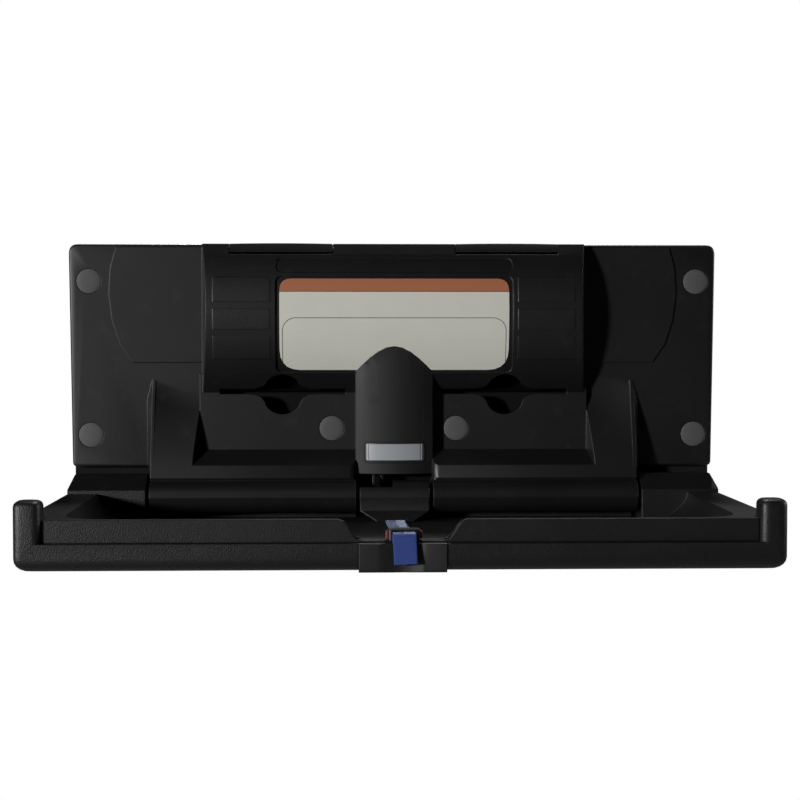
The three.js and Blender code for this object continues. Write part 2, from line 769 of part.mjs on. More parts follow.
function wallShell() {
  const skin = panelForm(0).subtract(panelForm(SKIN));
  const raised = joined([skin, ...SIDES.map(wingPad), ...SCREWS.map(screwBoss), badgeFrame()]);
  const opened = cut(raised, [
    ...SIDES.map(slotTool),
    ...SIDES.map(lidOpening),
    labelRecess(),
    titleRecess(),
    columnLayer(BADGE_HALF + FIT, BADGE_LOW - FIT, BADGE_HIGH + FIT, BADGE_CORNER, -BADGE_SINK, SKIN),
    strutOpening(),
  ]);
  const behindWall = box(-UNIT_WIDTH, UNIT_WIDTH, 4 * BEHIND, 0, -UNIT_WIDTH, UNIT_WIDTH);
  return cut(joined([opened, ...SIDES.flatMap(lidLugs)]), [
    ...SIDES.map(lidPinBore),
    ...SCREWS.map(screwBore),
    ...bushBores(),
    behindWall,
  ]);
}

function backPlate() {
  const inset = SKIN + FIT;
  const top = PANEL_TOP - inset;
  const step = WING_BOTTOM + inset;
  const low = PANEL_BOTTOM + inset;
  const half = WING_HALF - inset;
  const corner = WING_FOOT_CORNER + SKIN;
  const foot = Math.min(LOWER_HALF - inset, half - WING_TAPER - corner - FIT);
  const shape = outline([
    [-half, top, WING_CORNER + FIT],
    [half, top, WING_CORNER + FIT],
    [half - WING_TAPER, step, corner],
    [foot, step],
    [foot, low],
    [-foot, low],
    [-foot, step],
    [-half + WING_TAPER, step, corner],
  ]);
  const holes = SCREWS.map(({ x, z }) => rodOut(SCREW_RADIUS, BEHIND, 2 * SKIN, x, z, 12));
  return cut(alongReach(shape, 0, SKIN), holes);
}

// Liner bins, lids and pins

function linerBin(side) {
  const back = SKIN + FIT;
  const section = (wall, top) => outline([
    [back + wall, BIN_BOTTOM + wall],
    [BIN_NECK_REACH - wall, BIN_BOTTOM + wall],
    [BIN_REACH - wall, BIN_NECK],
    [BIN_REACH - wall, top],
    [back + wall, top],
  ]);
  const mouth = box(
    -BIN_HALF + BIN_WALL, BIN_HALF - BIN_WALL,
    BIN_NECK_REACH - 2 * BIN_WALL, BULGE_REACH, BIN_BOTTOM - BIN_WALL, BIN_NECK,
  );
  const outer = alongX(section(0, BIN_TOP), -BIN_HALF, BIN_HALF);
  const inner = alongX(section(BIN_WALL, BIN_TOP + SKIN), -BIN_HALF + BIN_WALL, BIN_HALF - BIN_WALL);
  return cut(outer, [inner, mouth]).translate([side * BIN_X, 0, 0]);
}

// Lid: the top and upper front of the bulge, crowned, with a hinge barrel along its back.
function linerLid(side) {
  const top = PANEL_TOP + LID_CROWN;
  const section = bulgeSection(0, LID_LOW, top, LID_BACK);
  const under = bulgeSection(-SKIN, LID_LOW - SKIN, PANEL_TOP - SKIN, 0);
  const front = new THREE.Shape();
  front.moveTo(-LID_HALF, LID_LOW);
  front.lineTo(LID_HALF, LID_LOW);
  front.lineTo(LID_HALF, PANEL_TOP);
  front.quadraticCurveTo(0, PANEL_TOP + 2 * LID_CROWN, -LID_HALF, PANEL_TOP);
  const skin = alongX(section, -LID_HALF, LID_HALF)
    .subtract(alongX(under, -UNIT_WIDTH, UNIT_WIDTH))
    .intersect(alongReach(front, 0, BULGE_REACH));
  const web = box(
    -LID_HALF, LID_HALF, LID_BACK, LID_HINGE_REACH, LID_HINGE_Z, PANEL_TOP - SKIN / 2,
  );
  const barrel = rodX(LID_BARREL_RADIUS, -LID_HALF, LID_HALF, LID_HINGE_REACH, LID_HINGE_Z, 16);
  const bore = rodX(LID_PIN_RADIUS + FIT, -UNIT_WIDTH, UNIT_WIDTH, LID_HINGE_REACH, LID_HINGE_Z, 12);
  return cut(joined([skin, web, barrel]), [bore]).translate([side * LID_X, 0, 0]);
}

function lidPin(side) {
  const half = LID_HALF + LID_GAP + LID_PIN_SEAT;
  const centre = side * LID_X;
  return rodX(LID_PIN_RADIUS, centre - half, centre + half, LID_HINGE_REACH, LID_HINGE_Z, 12);
}

function screwCap({ x, z, reach }) {
  const seat = reach - CAP_SINK + FIT;
  const profile = [
    [0, -(reach + CAP_RISE)],
    [CAP_RADIUS * 0.6, -(reach + CAP_RISE * 0.8)],
    [CAP_RADIUS * 0.9, -(reach + CAP_RISE * 0.4)],
    [CAP_RADIUS, -reach],
    [CAP_RADIUS, -seat],
    [CAP_SKIRT_RADIUS, -seat],
    [CAP_SKIRT_RADIUS, -(seat - CAP_SKIRT)],
    [CAP_SKIRT_RADIUS - CAP_SKIRT_WALL, -(seat - CAP_SKIRT)],
    [CAP_SKIRT_RADIUS - CAP_SKIRT_WALL, -seat],
    [0, -seat],
  ];
  const geometry = new THREE.LatheGeometry(profile.map(([r, y]) => new THREE.Vector2(r, y)), ROUND_SIDES);
  return solidOf(geometry.translate(x, 0, z));
}

function labelPlate() {
  const half = LABEL_HALF - LABEL_SIDE_MARGIN;
  const low = LABEL_LOW + LABEL_MARGIN;
  const high = LABEL_HIGH - LABEL_MARGIN;
  const shape = outline([
    [-half, low, PLATE_FOOT_CORNER],
    [half, low, PLATE_FOOT_CORNER],
    [half, high, PLATE_TOP_CORNER],
    [-half, high, PLATE_TOP_CORNER],
  ]);
  const inner = FIT - LABEL_SINK;
  const plate = faceLayer(shape, inner, inner + LABEL_THICK, low, high);
  const column = alongZ(columnPlan(COLUMN_HALF + FIT, FIT, BEHIND), COLUMN_BOTTOM, COLUMN_TOP);
  return plate.subtract(column);
}

function badgePlate() {
  const inner = FIT - BADGE_SINK;
  return columnLayer(BADGE_HALF, BADGE_LOW, BADGE_HIGH, BADGE_CORNER, inner, inner + BADGE_THICK);
}

// Hinge hardware

function hingeRod() {
  return rodX(HINGE_ROD_RADIUS, -HINGE_ROD_HALF, HINGE_ROD_HALF, HINGE_REACH, HINGE_Z);
}

// Flanged bush in the end wall of a wall barrel; its flange fills the gap to the bed's knuckle.
function hingeBush(end, outward) {
  const flange = rodX(BUSH_FLANGE_RADIUS, FIT, KNUCKLE_GAP - FIT, HINGE_REACH, HINGE_Z);
  const sleeve = rodX(BUSH_RADIUS, -SKIN, KNUCKLE_GAP / 2, HINGE_REACH, HINGE_Z);
  const bore = rodX(HINGE_ROD_RADIUS + FIT, -2 * SKIN, 2 * KNUCKLE_GAP, HINGE_REACH, HINGE_Z);
  const bush = joined([flange, sleeve]).subtract(bore);
  return (outward > 0 ? bush : bush.rotate([0, 0, 180]).translate([0, -2 * HINGE_REACH, 0])).translate([end, 0, 0]);
}

// Gas strut

const strutReach = HINGE_REACH - CRANK_OFFSET;
const clevisZ = HINGE_Z + CRANK_OFFSET;

function strutBracket() {
  const back = SKIN + FIT;
  const low = STRUT_EYE_Z - BRACKET_HALF_HEIGHT;
  const high = STRUT_EYE_Z + BRACKET_HALF_HEIGHT;
  const base = box(
    STRUT_X - BRACKET_HALF_WIDTH, STRUT_X + BRACKET_HALF_WIDTH, back, back + BRACKET_THICK, low, high,
  );
  const ear = outline([
    [back, low],
    [strutReach, STRUT_EYE_Z - STRUT_EYE_RADIUS],
    [strutReach + STRUT_EYE_RADIUS, STRUT_EYE_Z - STRUT_EYE_RADIUS, STRUT_EYE_RADIUS / 2],
    [strutReach + STRUT_EYE_RADIUS, STRUT_EYE_Z + STRUT_EYE_RADIUS, STRUT_EYE_RADIUS / 2],
    [strutReach, STRUT_EYE_Z + STRUT_EYE_RADIUS],
    [back, high],
  ]);
  const inner = STRUT_EYE_HALF + CLEVIS_GAP;
  const ears = SIDES.map((side) => {
    const [a, b] = [STRUT_X + side * inner, STRUT_X + side * (inner + BRACKET_THICK)];
    return alongX(ear, Math.min(a, b), Math.max(a, b));
  });
  const bore = rodX(STRUT_PIN_RADIUS + FIT, -UNIT_WIDTH, UNIT_WIDTH, strutReach, STRUT_EYE_Z);
  return joined([base, ...ears]).subtract(bore);
}

function strutPin() {
  const half = STRUT_EYE_HALF + CLEVIS_GAP + 2 * BRACKET_THICK;
  return rodX(STRUT_PIN_RADIUS, STRUT_X - half, STRUT_X + half, strutReach, STRUT_EYE_Z);
}

function gasCylinder() {
  const tube = rodZ(CYLINDER_RADIUS, CYLINDER_LOW, CYLINDER_HIGH, STRUT_X, strutReach);
  const eyeSection = rectangle(
    strutReach - STRUT_EYE_RADIUS, CYLINDER_HIGH - CYLINDER_END,
    strutReach + STRUT_EYE_RADIUS, STRUT_EYE_Z + STRUT_EYE_RADIUS, STRUT_EYE_RADIUS,
  );
  const eye = alongX(eyeSection, STRUT_X - STRUT_EYE_HALF, STRUT_X + STRUT_EYE_HALF);
  const top = CYLINDER_HIGH - CYLINDER_END;
  const bore = rodZ(CYLINDER_BORE, CYLINDER_LOW + CYLINDER_END, top, STRUT_X, strutReach);
  const gland = rodZ(STRUT_ROD_RADIUS + FIT, CYLINDER_LOW - SKIN, top, STRUT_X, strutReach);
  const eyeBore = rodX(STRUT_PIN_RADIUS + FIT, -UNIT_WIDTH, UNIT_WIDTH, strutReach, STRUT_EYE_Z);
  return cut(joined([tube, eye]), [bore, gland, eyeBore]);
}

function gasRod() {
  const low = clevisZ + CLEVIS_TOP - CLEVIS_NECK;
  const high = low + STRUT_ROD_LENGTH;
  const rod = rodZ(STRUT_ROD_RADIUS, low, high, STRUT_X, strutReach);
  const piston = rodZ(CYLINDER_BORE - FIT, high - PISTON_HEIGHT, high, STRUT_X, strutReach);
  return rod.add(piston);
}

function rodClevis() {
  const half = CRANK_THICK / 2 + CLEVIS_GAP + CLEVIS_TINE;
  const body = box(
    STRUT_X - half, STRUT_X + half,
    strutReach - CLEVIS_HALF, strutReach + CLEVIS_HALF,
    clevisZ - CLEVIS_HALF, clevisZ + CLEVIS_TOP,
  );
  const slotHalf = CRANK_THICK / 2 + CLEVIS_GAP;
  const slot = box(
    STRUT_X - slotHalf, STRUT_X + slotHalf,
    strutReach - 2 * CLEVIS_HALF, strutReach + 2 * CLEVIS_HALF,
    clevisZ - 2 * CLEVIS_HALF, clevisZ + CLEVIS_SLOT,
  );
  const socket = rodZ(
    STRUT_ROD_RADIUS + FIT, clevisZ + CLEVIS_TOP - CLEVIS_NECK - FIT, clevisZ + 2 * CLEVIS_TOP, STRUT_X, strutReach,
  );
  const bore = rodX(CRANK_PIN_RADIUS + FIT, -UNIT_WIDTH, UNIT_WIDTH, strutReach, clevisZ);
  return cut(body, [slot, socket, bore]);
}

function clevisPin() {
  const half = CRANK_THICK / 2 + CLEVIS_GAP + CLEVIS_TINE + FIT;
  return rodX(CRANK_PIN_RADIUS, STRUT_X - half, STRUT_X + half, strutReach, clevisZ);
}

// Folding bed, drawn about the hinge line: (x, out, up)

const insideRail = HALF_WIDTH - RAIL_DEPTH;

function doorShell() {
  const ringAt = (inset, up) => {
    const half = HALF_WIDTH - inset;
    return planRing(-half, half, DOOR_REAR, DOOR_OUT - inset, DOOR_CORNER, up);
  };
  const rings = [];
  for (let step = 0; step <= CURVE_STEPS; step += 1) {
    const angle = (step / CURVE_STEPS) * (Math.PI / 2);
    rings.push(ringAt(DOOR_EDGE * (1 - Math.sin(angle)), DOOR_BOTTOM + DOOR_EDGE * (1 - Math.cos(angle))));
  }
  rings.push(ringAt(0, RAIL_UP));
  const hollow = loft([
    planRing(
      -HALF_WIDTH + DOOR_EDGE, HALF_WIDTH - DOOR_EDGE,
      DOOR_REAR + SKIN, DOOR_OUT - DOOR_EDGE, DOOR_CORNER, DOOR_BOTTOM + SKIN,
    ),
    planRing(
      -insideRail, insideRail,
      DOOR_REAR + SKIN, DOOR_OUT - RAIL_DEPTH, DOOR_CORNER, DOOR_BOTTOM + DOOR_EDGE,
    ),
    planRing(
      -insideRail, insideRail,
      DOOR_REAR + SKIN, DOOR_OUT - RAIL_DEPTH, DOOR_CORNER, RIM_UP,
    ),
  ], fromAbove);
  const rearRelief = box(
    -insideRail, insideRail,
    2 * DOOR_REAR, DOOR_REAR + SKIN + DOOR_CORNER, BASIN_FLOOR_UP - SKIN - FIT, POST_UP,
  );
  const pullSeat = box(
    -PULL_HALF - FIT, PULL_HALF + FIT, DOOR_OUT - PULL_SEAT, 2 * DOOR_OUT, 2 * DOOR_BOTTOM, RIM_UP,
  );
  const pan = cut(loft(rings, fromAbove), [hollow, rearRelief]);
  return joined([pan, ...SIDES.map(cornerPost)]).subtract(pullSeat);
}

// Front corner post with a softened top.
function cornerPost(side) {
  const inner = HALF_WIDTH - POST_WIDTH;
  const ringAt = (inset, up) => {
    const [x0, x1] = [side * (inner + inset), side * (HALF_WIDTH - inset)];
    return planRing(
      Math.min(x0, x1), Math.max(x0, x1),
      DOOR_OUT - POST_DEPTH + inset, DOOR_OUT - inset, DOOR_CORNER - inset / 2, up,
    );
  };
  const rings = [ringAt(0, RAIL_UP - POST_ROOT)];
  for (let step = 0; step <= CURVE_STEPS; step += 1) {
    const angle = (step / CURVE_STEPS) * (Math.PI / 2);
    rings.push(ringAt(POST_EDGE * (1 - Math.cos(angle)), POST_UP - POST_EDGE * (1 - Math.sin(angle))));
  }
  return loft(rings, fromAbove);
}

// The basin that the child lies in: a hollow with concave sides, open at the back. grow makes it larger.
function basinForm(grow) {
  const half = BED_HALF - RIM_WIDTH + grow;
  const front = DOOR_OUT - BED_SETBACK - BAND_THICK + grow;
  const deep = RIM_UP - BASIN_FLOOR_UP;
  const rings = [planRing(-half, half, 2 * DOOR_REAR, front, BASIN_CORNER, 2 * POST_UP)];
  for (let step = 0; step <= CURVE_STEPS; step += 1) {
    const share = step / CURVE_STEPS;
    const inset = BASIN_SLOPE * share ** 1.6;
    const up = RIM_UP - deep * (1 - (1 - share) ** 1.35) - grow * share;
    rings.push(planRing(-half + inset, half - inset, 2 * DOOR_REAR, front - inset, BASIN_CORNER, up));
  }
  return loft(rings, fromAbove);
}

// Front view of the low middle of the front band, with S-shaped ends.
function bandNotch() {
  const middle = (NOTCH_HALF_LOW + NOTCH_HALF_HIGH) / 2;
  const shape = new THREE.Shape();
  shape.moveTo(-NOTCH_HALF_LOW, NOTCH_UP);
  shape.lineTo(NOTCH_HALF_LOW, NOTCH_UP);
  shape.bezierCurveTo(middle, NOTCH_UP, middle, RIM_UP, NOTCH_HALF_HIGH, RIM_UP);
  shape.lineTo(NOTCH_HALF_HIGH, POST_UP);
  shape.lineTo(-NOTCH_HALF_HIGH, POST_UP);
  shape.lineTo(-NOTCH_HALF_HIGH, RIM_UP);
  shape.bezierCurveTo(-middle, RIM_UP, -middle, NOTCH_UP, -NOTCH_HALF_LOW, NOTCH_UP);
  return alongReach(shape, DOOR_OUT - NOTCH_PLATE_IN, DOOR_OUT);
}

function bedPlan(inset) {
  const half = BED_HALF - inset;
  const postInner = HALF_WIDTH - POST_WIDTH - FIT - inset;
  const postRear = DOOR_OUT - POST_DEPTH - FIT - inset;
  const front = DOOR_OUT - BED_SETBACK - inset;
  const rear = DOOR_REAR + FIT + inset;
  return outline([
    [-half, rear],
    [half, rear],
    [half, postRear],
    [postInner, postRear],
    [postInner, front],
    [-postInner, front],
    [-postInner, postRear],
    [-half, postRear],
  ]);
}

const knuckleSection = (inset, low) => outline([
  [DOOR_REAR + FIT + inset, low],
  [KNUCKLE_FRONT_OUT - inset, low],
  [KNUCKLE_FRONT_OUT - inset, KNUCKLE_CREASE_UP - inset],
  [KNUCKLE_CREASE_OUT - inset, KNUCKLE_CREASE_UP + inset / 4],
  [KNUCKLE_TOP_OUT, KNUCKLE_TOP - inset],
  [KNUCKLE_TOP_REAR + inset, KNUCKLE_TOP - inset],
  [DOOR_REAR + FIT + inset, RIM_UP - inset],
]);

// Side knuckle, hollow below, with a tube for the hinge rod and a slanted outer end.
function sideKnuckle(side) {
  const low = BASIN_FLOOR_UP - SKIN;
  const insideDoor = insideRail - FIT;
  const slant = outline([
    [SIDE_KNUCKLE_START, low],
    [insideDoor, low],
    [insideDoor, RAIL_UP + FIT],
    [BED_HALF - FIT, RAIL_UP + FIT],
    [BED_HALF - FIT, RIM_UP + KNUCKLE_SLANT],
    [BED_HALF - KNUCKLE_SLANT, KNUCKLE_TOP + FIT],
    [SIDE_KNUCKLE_START, KNUCKLE_TOP + FIT],
  ]);
  const block = alongX(knuckleSection(0, low), SIDE_KNUCKLE_START, BED_HALF)
    .intersect(alongReach(slant, 2 * DOOR_REAR, DOOR_OUT));
  const solid = side > 0 ? block : block.mirror([1, 0, 0]);
  return solid;
}

function sideKnuckleHollow(side) {
  const low = BASIN_FLOOR_UP - 2 * SKIN;
  const hollow = alongX(
    knuckleSection(SKIN, low), SIDE_KNUCKLE_START + SKIN, BED_HALF - SKIN - KNUCKLE_SLANT,
  );
  const tube = rodX(KNUCKLE_TUBE_RADIUS, SIDE_KNUCKLE_START, BED_HALF, 0, 0);
  const open = hollow.subtract(tube);
  return side > 0 ? open : open.mirror([1, 0, 0]);
}

// Round section with the mould's parting ridge at its front.
function ridgedBarrel(sides) {
  const points = [];
  for (let step = 0; step < sides; step += 1) {
    const angle = (2 * Math.PI * step) / sides;
    const radius = step === 0 ? BARREL_RADIUS + PARTING_RIDGE : BARREL_RADIUS;
    points.push(new THREE.Vector2(radius * Math.cos(angle), radius * Math.sin(angle)));
  }
  return new THREE.Shape(points);
}

// Centre knuckle: a barrel on a nose that runs down to the floor of the basin.
function centreKnuckle() {
  const barrel = alongX(ridgedBarrel(2 * ROUND_SIDES), -CENTRE_KNUCKLE_HALF, CENTRE_KNUCKLE_HALF);
  const ringAt = (half, rear, front, up) => [
    new THREE.Vector3(-half, -rear, up),
    new THREE.Vector3(half, -rear, up),
    new THREE.Vector3(half, -front, up),
    new THREE.Vector3(-half, -front, up),
  ];
  const half = CENTRE_KNUCKLE_HALF - FIT;
  const nose = loft([
    ringAt(NOSE_HALF, NOSE_BACK, NOSE_OUT, BASIN_FLOOR_UP - SKIN / 2),
    ringAt(half, -NOSE_BACK, NOSE_SHOULDER_OUT, NOSE_SHOULDER_UP),
    ringAt(half, -NOSE_BACK, BARREL_RADIUS, 0),
  ], fromAbove);
  return barrel.add(nose);
}

function centreBay() {
  const bay = box(BAY_LEFT, BAY_RIGHT, 2 * DOOR_REAR, BAY_OUT, BAY_DOWN, 2 * POST_UP);
  const top = box(-2 * CENTRE_KNUCKLE_HALF, BAY_RIGHT, 2 * DOOR_REAR, DOOR_OUT, BAY_UP, 2 * POST_UP);
  const footHalf = CRANK_THICK / 2 + FIT;
  const foot = box(
    STRUT_X - footHalf, STRUT_X + footHalf,
    0, CRANK_FOOT + FIT, CRANK_FOOT_LOW - FIT, CRANK_FOOT_HIGH + FIT,
  );
  return joined([bay, top, foot]);
}

function strapSlot() {
  const half = STRAP_HALF + FIT;
  const low = BASIN_FLOOR_UP + FIT;
  return box(
    STRAP_X - half, STRAP_X + half,
    STRAP_ROOT_OUT - FIT, 2 * NOSE_OUT, low - FIT, low + STRAP_THICK + 2 * FIT,
  );
}

function bedPan() {
  const low = RAIL_UP + FIT;
  const block = alongZ(bedPlan(FIT), low, RIM_UP);
  const hollow = alongZ(bedPlan(SKIN), 2 * DOOR_BOTTOM, RIM_UP - SKIN);
  const notchPlate = box(
    -NOTCH_HALF_HIGH, NOTCH_HALF_HIGH,
    DOOR_OUT - NOTCH_PLATE_IN, DOOR_OUT - BED_SETBACK - FIT, low, NOTCH_UP,
  );
  const trim = alongZ(bedPlan(FIT), DOOR_BOTTOM, 2 * POST_UP);
  const underSkin = basinForm(SKIN).intersect(alongZ(bedPlan(FIT), DOOR_BOTTOM, RIM_UP));
  const rim = joined([block.subtract(hollow), notchPlate, underSkin]).intersect(trim);
  const dished = cut(rim, [basinForm(0), bandNotch()]);
  const withKnuckles = joined([dished, ...SIDES.map(sideKnuckle), centreKnuckle()]);
  const rodBore = rodX(HINGE_ROD_RADIUS + FIT, -UNIT_WIDTH, UNIT_WIDTH, 0, 0);
  const plugSeats = SIDES.map((side) => {
    const [a, b] = [side * (BED_HALF - PLUG_THICK - FIT), side * UNIT_WIDTH];
    return rodX(PLUG_RADIUS + FIT, Math.min(a, b), Math.max(a, b), 0, 0);
  });
  return cut(withKnuckles, [
    ...SIDES.map(sideKnuckleHollow),
    centreBay(),
    strapSlot(),
    rodBore,
    ...plugSeats,
  ]);
}

function rodPlug(side) {
  const [a, b] = [side * (BED_HALF - PLUG_THICK), side * (BED_HALF - FIT)];
  return rodX(PLUG_RADIUS, Math.min(a, b), Math.max(a, b), 0, 0);
}

// Crank on the bed that drives the strut's clevis. Its slot has room for the pin's straight path.
function crankArm() {
  const half = CRANK_THICK / 2;
  const longest = CRANK_OFFSET * Math.SQRT2;
  const play = 0.08 * CRANK_OFFSET + FIT;
  const slotHalf = CRANK_PIN_RADIUS + play;
  const slotIn = CRANK_OFFSET - CRANK_PIN_RADIUS - play;
  const slotOut = longest + CRANK_PIN_RADIUS + play;
  const bladeHalf = slotHalf + CRANK_TIP / 2;
  const blade = rectangle(-slotOut - CRANK_TIP / 2, -bladeHalf, 0, bladeHalf, CRANK_TIP / 2);
  const slot = rectangle(-slotOut, -slotHalf, -slotIn, slotHalf, CRANK_PIN_RADIUS);
  const arm = alongX(blade, -half, half).subtract(alongX(slot, -UNIT_WIDTH, UNIT_WIDTH)).rotate([45, 0, 0]);
  const hub = rodX(CRANK_HUB_RADIUS, -half, half, 0, 0);
  const foot = box(-half, half, 0, CRANK_FOOT, CRANK_FOOT_LOW, CRANK_FOOT_HIGH);
  const bore = rodX(HINGE_ROD_RADIUS + FIT, -UNIT_WIDTH, UNIT_WIDTH, 0, 0);
  return joined([arm, hub, foot]).subtract(bore).translate([STRUT_X, 0, 0]);
}

function pullBlock() {
  const back = DOOR_OUT - PULL_SEAT + FIT;
  const front = DOOR_OUT + PULL_PROUD;
  const section = outline([
    [back, RAIL_UP],
    [front, RAIL_UP, PULL_PROUD + 1],
    [front, DOOR_BOTTOM - PULL_DROP, PULL_SEAT / 2],
    [back, DOOR_BOTTOM - PULL_DROP],
  ]);
  const scooped = alongZ(pullPlan(back, front), 2 * DOOR_BOTTOM, POST_UP);
  return alongX(section, -PULL_HALF, PULL_HALF).intersect(scooped).subtract(anchorSlot());
}

// Plan of the pull block: its finger scoop fades out towards both ends.
function pullPlan(back, front) {
  const shape = new THREE.Shape();
  shape.moveTo(-PULL_HALF - FIT, back - FIT);
  shape.lineTo(PULL_HALF + FIT, back - FIT);
  shape.lineTo(PULL_HALF + FIT, front + FIT);
  for (let step = 0; step <= SCOOP_STEPS; step += 1) {
    const share = 1 - (2 * step) / SCOOP_STEPS;
    const dip = PULL_SCOOP_DEPTH * (0.5 + 0.5 * Math.cos(Math.PI * share));
    shape.lineTo(share * PULL_SCOOP_HALF, front + FIT - dip);
  }
  shape.lineTo(-PULL_HALF - FIT, front + FIT);
  return shape;
}

// Slot in the pull block that the short anchor strap goes down into.
const anchorOut = BUCKLE_FRONT + 2 * FIT;
const anchorDeep = RAIL_UP - 3 * TAIL_BEND;

function anchorSlot() {
  return box(
    STRAP_X - STRAP_HALF - FIT, STRAP_X + STRAP_HALF + FIT,
    anchorOut - FIT, anchorOut + STRAP_THICK + FIT, anchorDeep - FIT, POST_UP,
  );
}

// Strap, drawn as flat webbing

const buckleLow = NOTCH_UP + FIT;
const buckleHigh = buckleLow + BUCKLE_HEIGHT;
const webLevel = buckleLow + BUCKLE_HEIGHT / 2;

function webbing(section) {
  return alongX(outline(section), STRAP_X - STRAP_HALF, STRAP_X + STRAP_HALF);
}

function bedStrap() {
  const low = BASIN_FLOOR_UP + FIT;
  const end = TONGUE_REAR - FIT;
  return webbing([
    [STRAP_ROOT_OUT, low],
    [STRAP_REST_OUT, low],
    [end, webLevel],
    [end, webLevel + STRAP_THICK],
    [STRAP_REST_OUT, low + STRAP_THICK],
    [STRAP_ROOT_OUT, low + STRAP_THICK],
  ]);
}

// Free end: out of the front of the buckle, round the front of the pull block and down.
const tailLow = buckleHigh - TAIL_BELOW_TOP;

function tailStrap() {
  const low = tailLow;
  const high = low + STRAP_THICK;
  const inner = DOOR_OUT + PULL_PROUD + TAIL_CLEAR;
  const outer = inner + STRAP_THICK;
  const end = low - TAIL_DROP;
  return webbing([
    [BUCKLE_FRONT - TAIL_GRIP, low],
    [inner, low, TAIL_BEND],
    [inner, end],
    [outer, end],
    [outer, high, TAIL_BEND + STRAP_THICK],
    [BUCKLE_FRONT - TAIL_GRIP, high],
  ]);
}

function anchorStrap() {
  const top = tailLow - STRAP_THICK;
  return webbing([
    [anchorOut, anchorDeep],
    [anchorOut + STRAP_THICK, anchorDeep],
    [anchorOut + STRAP_THICK, top],
    [anchorOut, top],
  ]);
}

const prongWindow = PRONG_LENGTH + 2 * FIT;
const prongRear = (BUCKLE_REAR + BUCKLE_FRONT - PRONG_LENGTH) / 2;
const prongLow = buckleLow + (BUCKLE_HEIGHT - PRONG_THICK) / 2;

function buckleBody() {
  const plan = rectangle(
    STRAP_X - BUCKLE_HALF, BUCKLE_REAR, STRAP_X + BUCKLE_HALF, BUCKLE_FRONT, BUCKLE_CORNER,
  );
  const bladeLow = webLevel - TONGUE_BLADE_THICK / 2;
  const bladeSlot = box(
    STRAP_X - TONGUE_BLADE_HALF - FIT, STRAP_X + TONGUE_BLADE_HALF + FIT,
    BUCKLE_REAR - SKIN, BUCKLE_REAR + TONGUE_BLADE_IN + FIT,
    bladeLow - FIT, bladeLow + TONGUE_BLADE_THICK + FIT,
  );
  const windows = SIDES.map((side) => {
    const inner = STRAP_X + side * (BUCKLE_HALF - PRONG_WIDTH - PRONG_TRAVEL - FIT);
    const outer = STRAP_X + side * 2 * BUCKLE_HALF;
    return box(
      Math.min(inner, outer), Math.max(inner, outer),
      prongRear - FIT, prongRear - FIT + prongWindow, prongLow - FIT, prongLow + PRONG_THICK + FIT,
    );
  });
  const tailSlot = box(
    STRAP_X - STRAP_HALF - FIT, STRAP_X + STRAP_HALF + FIT,
    BUCKLE_FRONT - TAIL_GRIP - FIT, BUCKLE_FRONT + SKIN, tailLow - FIT, tailLow + STRAP_THICK + FIT,
  );
  return cut(alongZ(plan, buckleLow, buckleHigh), [bladeSlot, tailSlot, ...windows]);
}

// Tongue: a frame with the bar that the webbing turns round, and a blade into the buckle.
function buckleTongue() {
  const low = webLevel - TONGUE_THICK / 2;
  const rear = TONGUE_REAR;
  const front = BUCKLE_REAR - FIT;
  const plan = rectangle(STRAP_X - TONGUE_HALF, rear, STRAP_X + TONGUE_HALF, front, BUCKLE_CORNER);
  const gapHalf = STRAP_HALF + FIT;
  const gap = box(
    STRAP_X - gapHalf, STRAP_X + gapHalf, rear + TONGUE_BAR, front - TONGUE_BAR, low - SKIN, low + 2 * TONGUE_THICK,
  );
  const bladeLow = webLevel - TONGUE_BLADE_THICK / 2;
  const blade = box(
    STRAP_X - TONGUE_BLADE_HALF, STRAP_X + TONGUE_BLADE_HALF,
    front - TONGUE_BAR, BUCKLE_REAR + TONGUE_BLADE_IN, bladeLow, bladeLow + TONGUE_BLADE_THICK,
  );
  return alongZ(plan, low, low + TONGUE_THICK).subtract(gap).add(blade);
}

function releaseProng(side) {
  const inner = side * (BUCKLE_HALF - PRONG_WIDTH);
  const outer = side * (BUCKLE_HALF + PRONG_PROUD);
  const plan = rectangle(
    Math.min(inner, outer), prongRear, Math.max(inner, outer), prongRear + PRONG_LENGTH, PRONG_WIDTH / 4,
  );
  return alongZ(plan, prongLow, prongLow + PRONG_THICK).translate([STRAP_X, 0, 0]);
}

// Finishes and assembly

const FINISHES = {
  moulding: { color: 0x1c1c1d, roughness: 0.55, metalness: 0 },
  grained: { color: 0x1a1a1b, roughness: 0.7, metalness: 0 },
  pull: { color: 0x2b2826, roughness: 0.4, metalness: 0 },
  bin: { color: 0x232324, roughness: 0.6, metalness: 0 },
  cap: { color: 0x595959, roughness: 0.5, metalness: 0 },
  label: { color: 0xe2ded3, roughness: 0.45, metalness: 0 },
  badge: { color: 0xc9ced2, roughness: 0.3, metalness: 0.4 },
  steel: { color: 0x9a9da0, roughness: 0.35, metalness: 1 },
  nylon: { color: 0x3a3a3b, roughness: 0.5, metalness: 0 },
  strut: { color: 0x161617, roughness: 0.35, metalness: 0.3 },
  webbing: { color: 0x2f46a3, roughness: 0.8, metalness: 0 },
  buckle: { color: 0x17171a, roughness: 0.4, metalness: 0 },
  prong: { color: 0xc22f35, roughness: 0.4, metalness: 0 },
};

function addPiece(group, name, solid, finish) {
  const mesh = new THREE.Mesh(geometryOf(solid), new THREE.MeshStandardMaterial(FINISHES[finish]));
  mesh.name = name;
  group.add(mesh);
}

const sideName = (side) => (side < 0 ? "left" : "right");

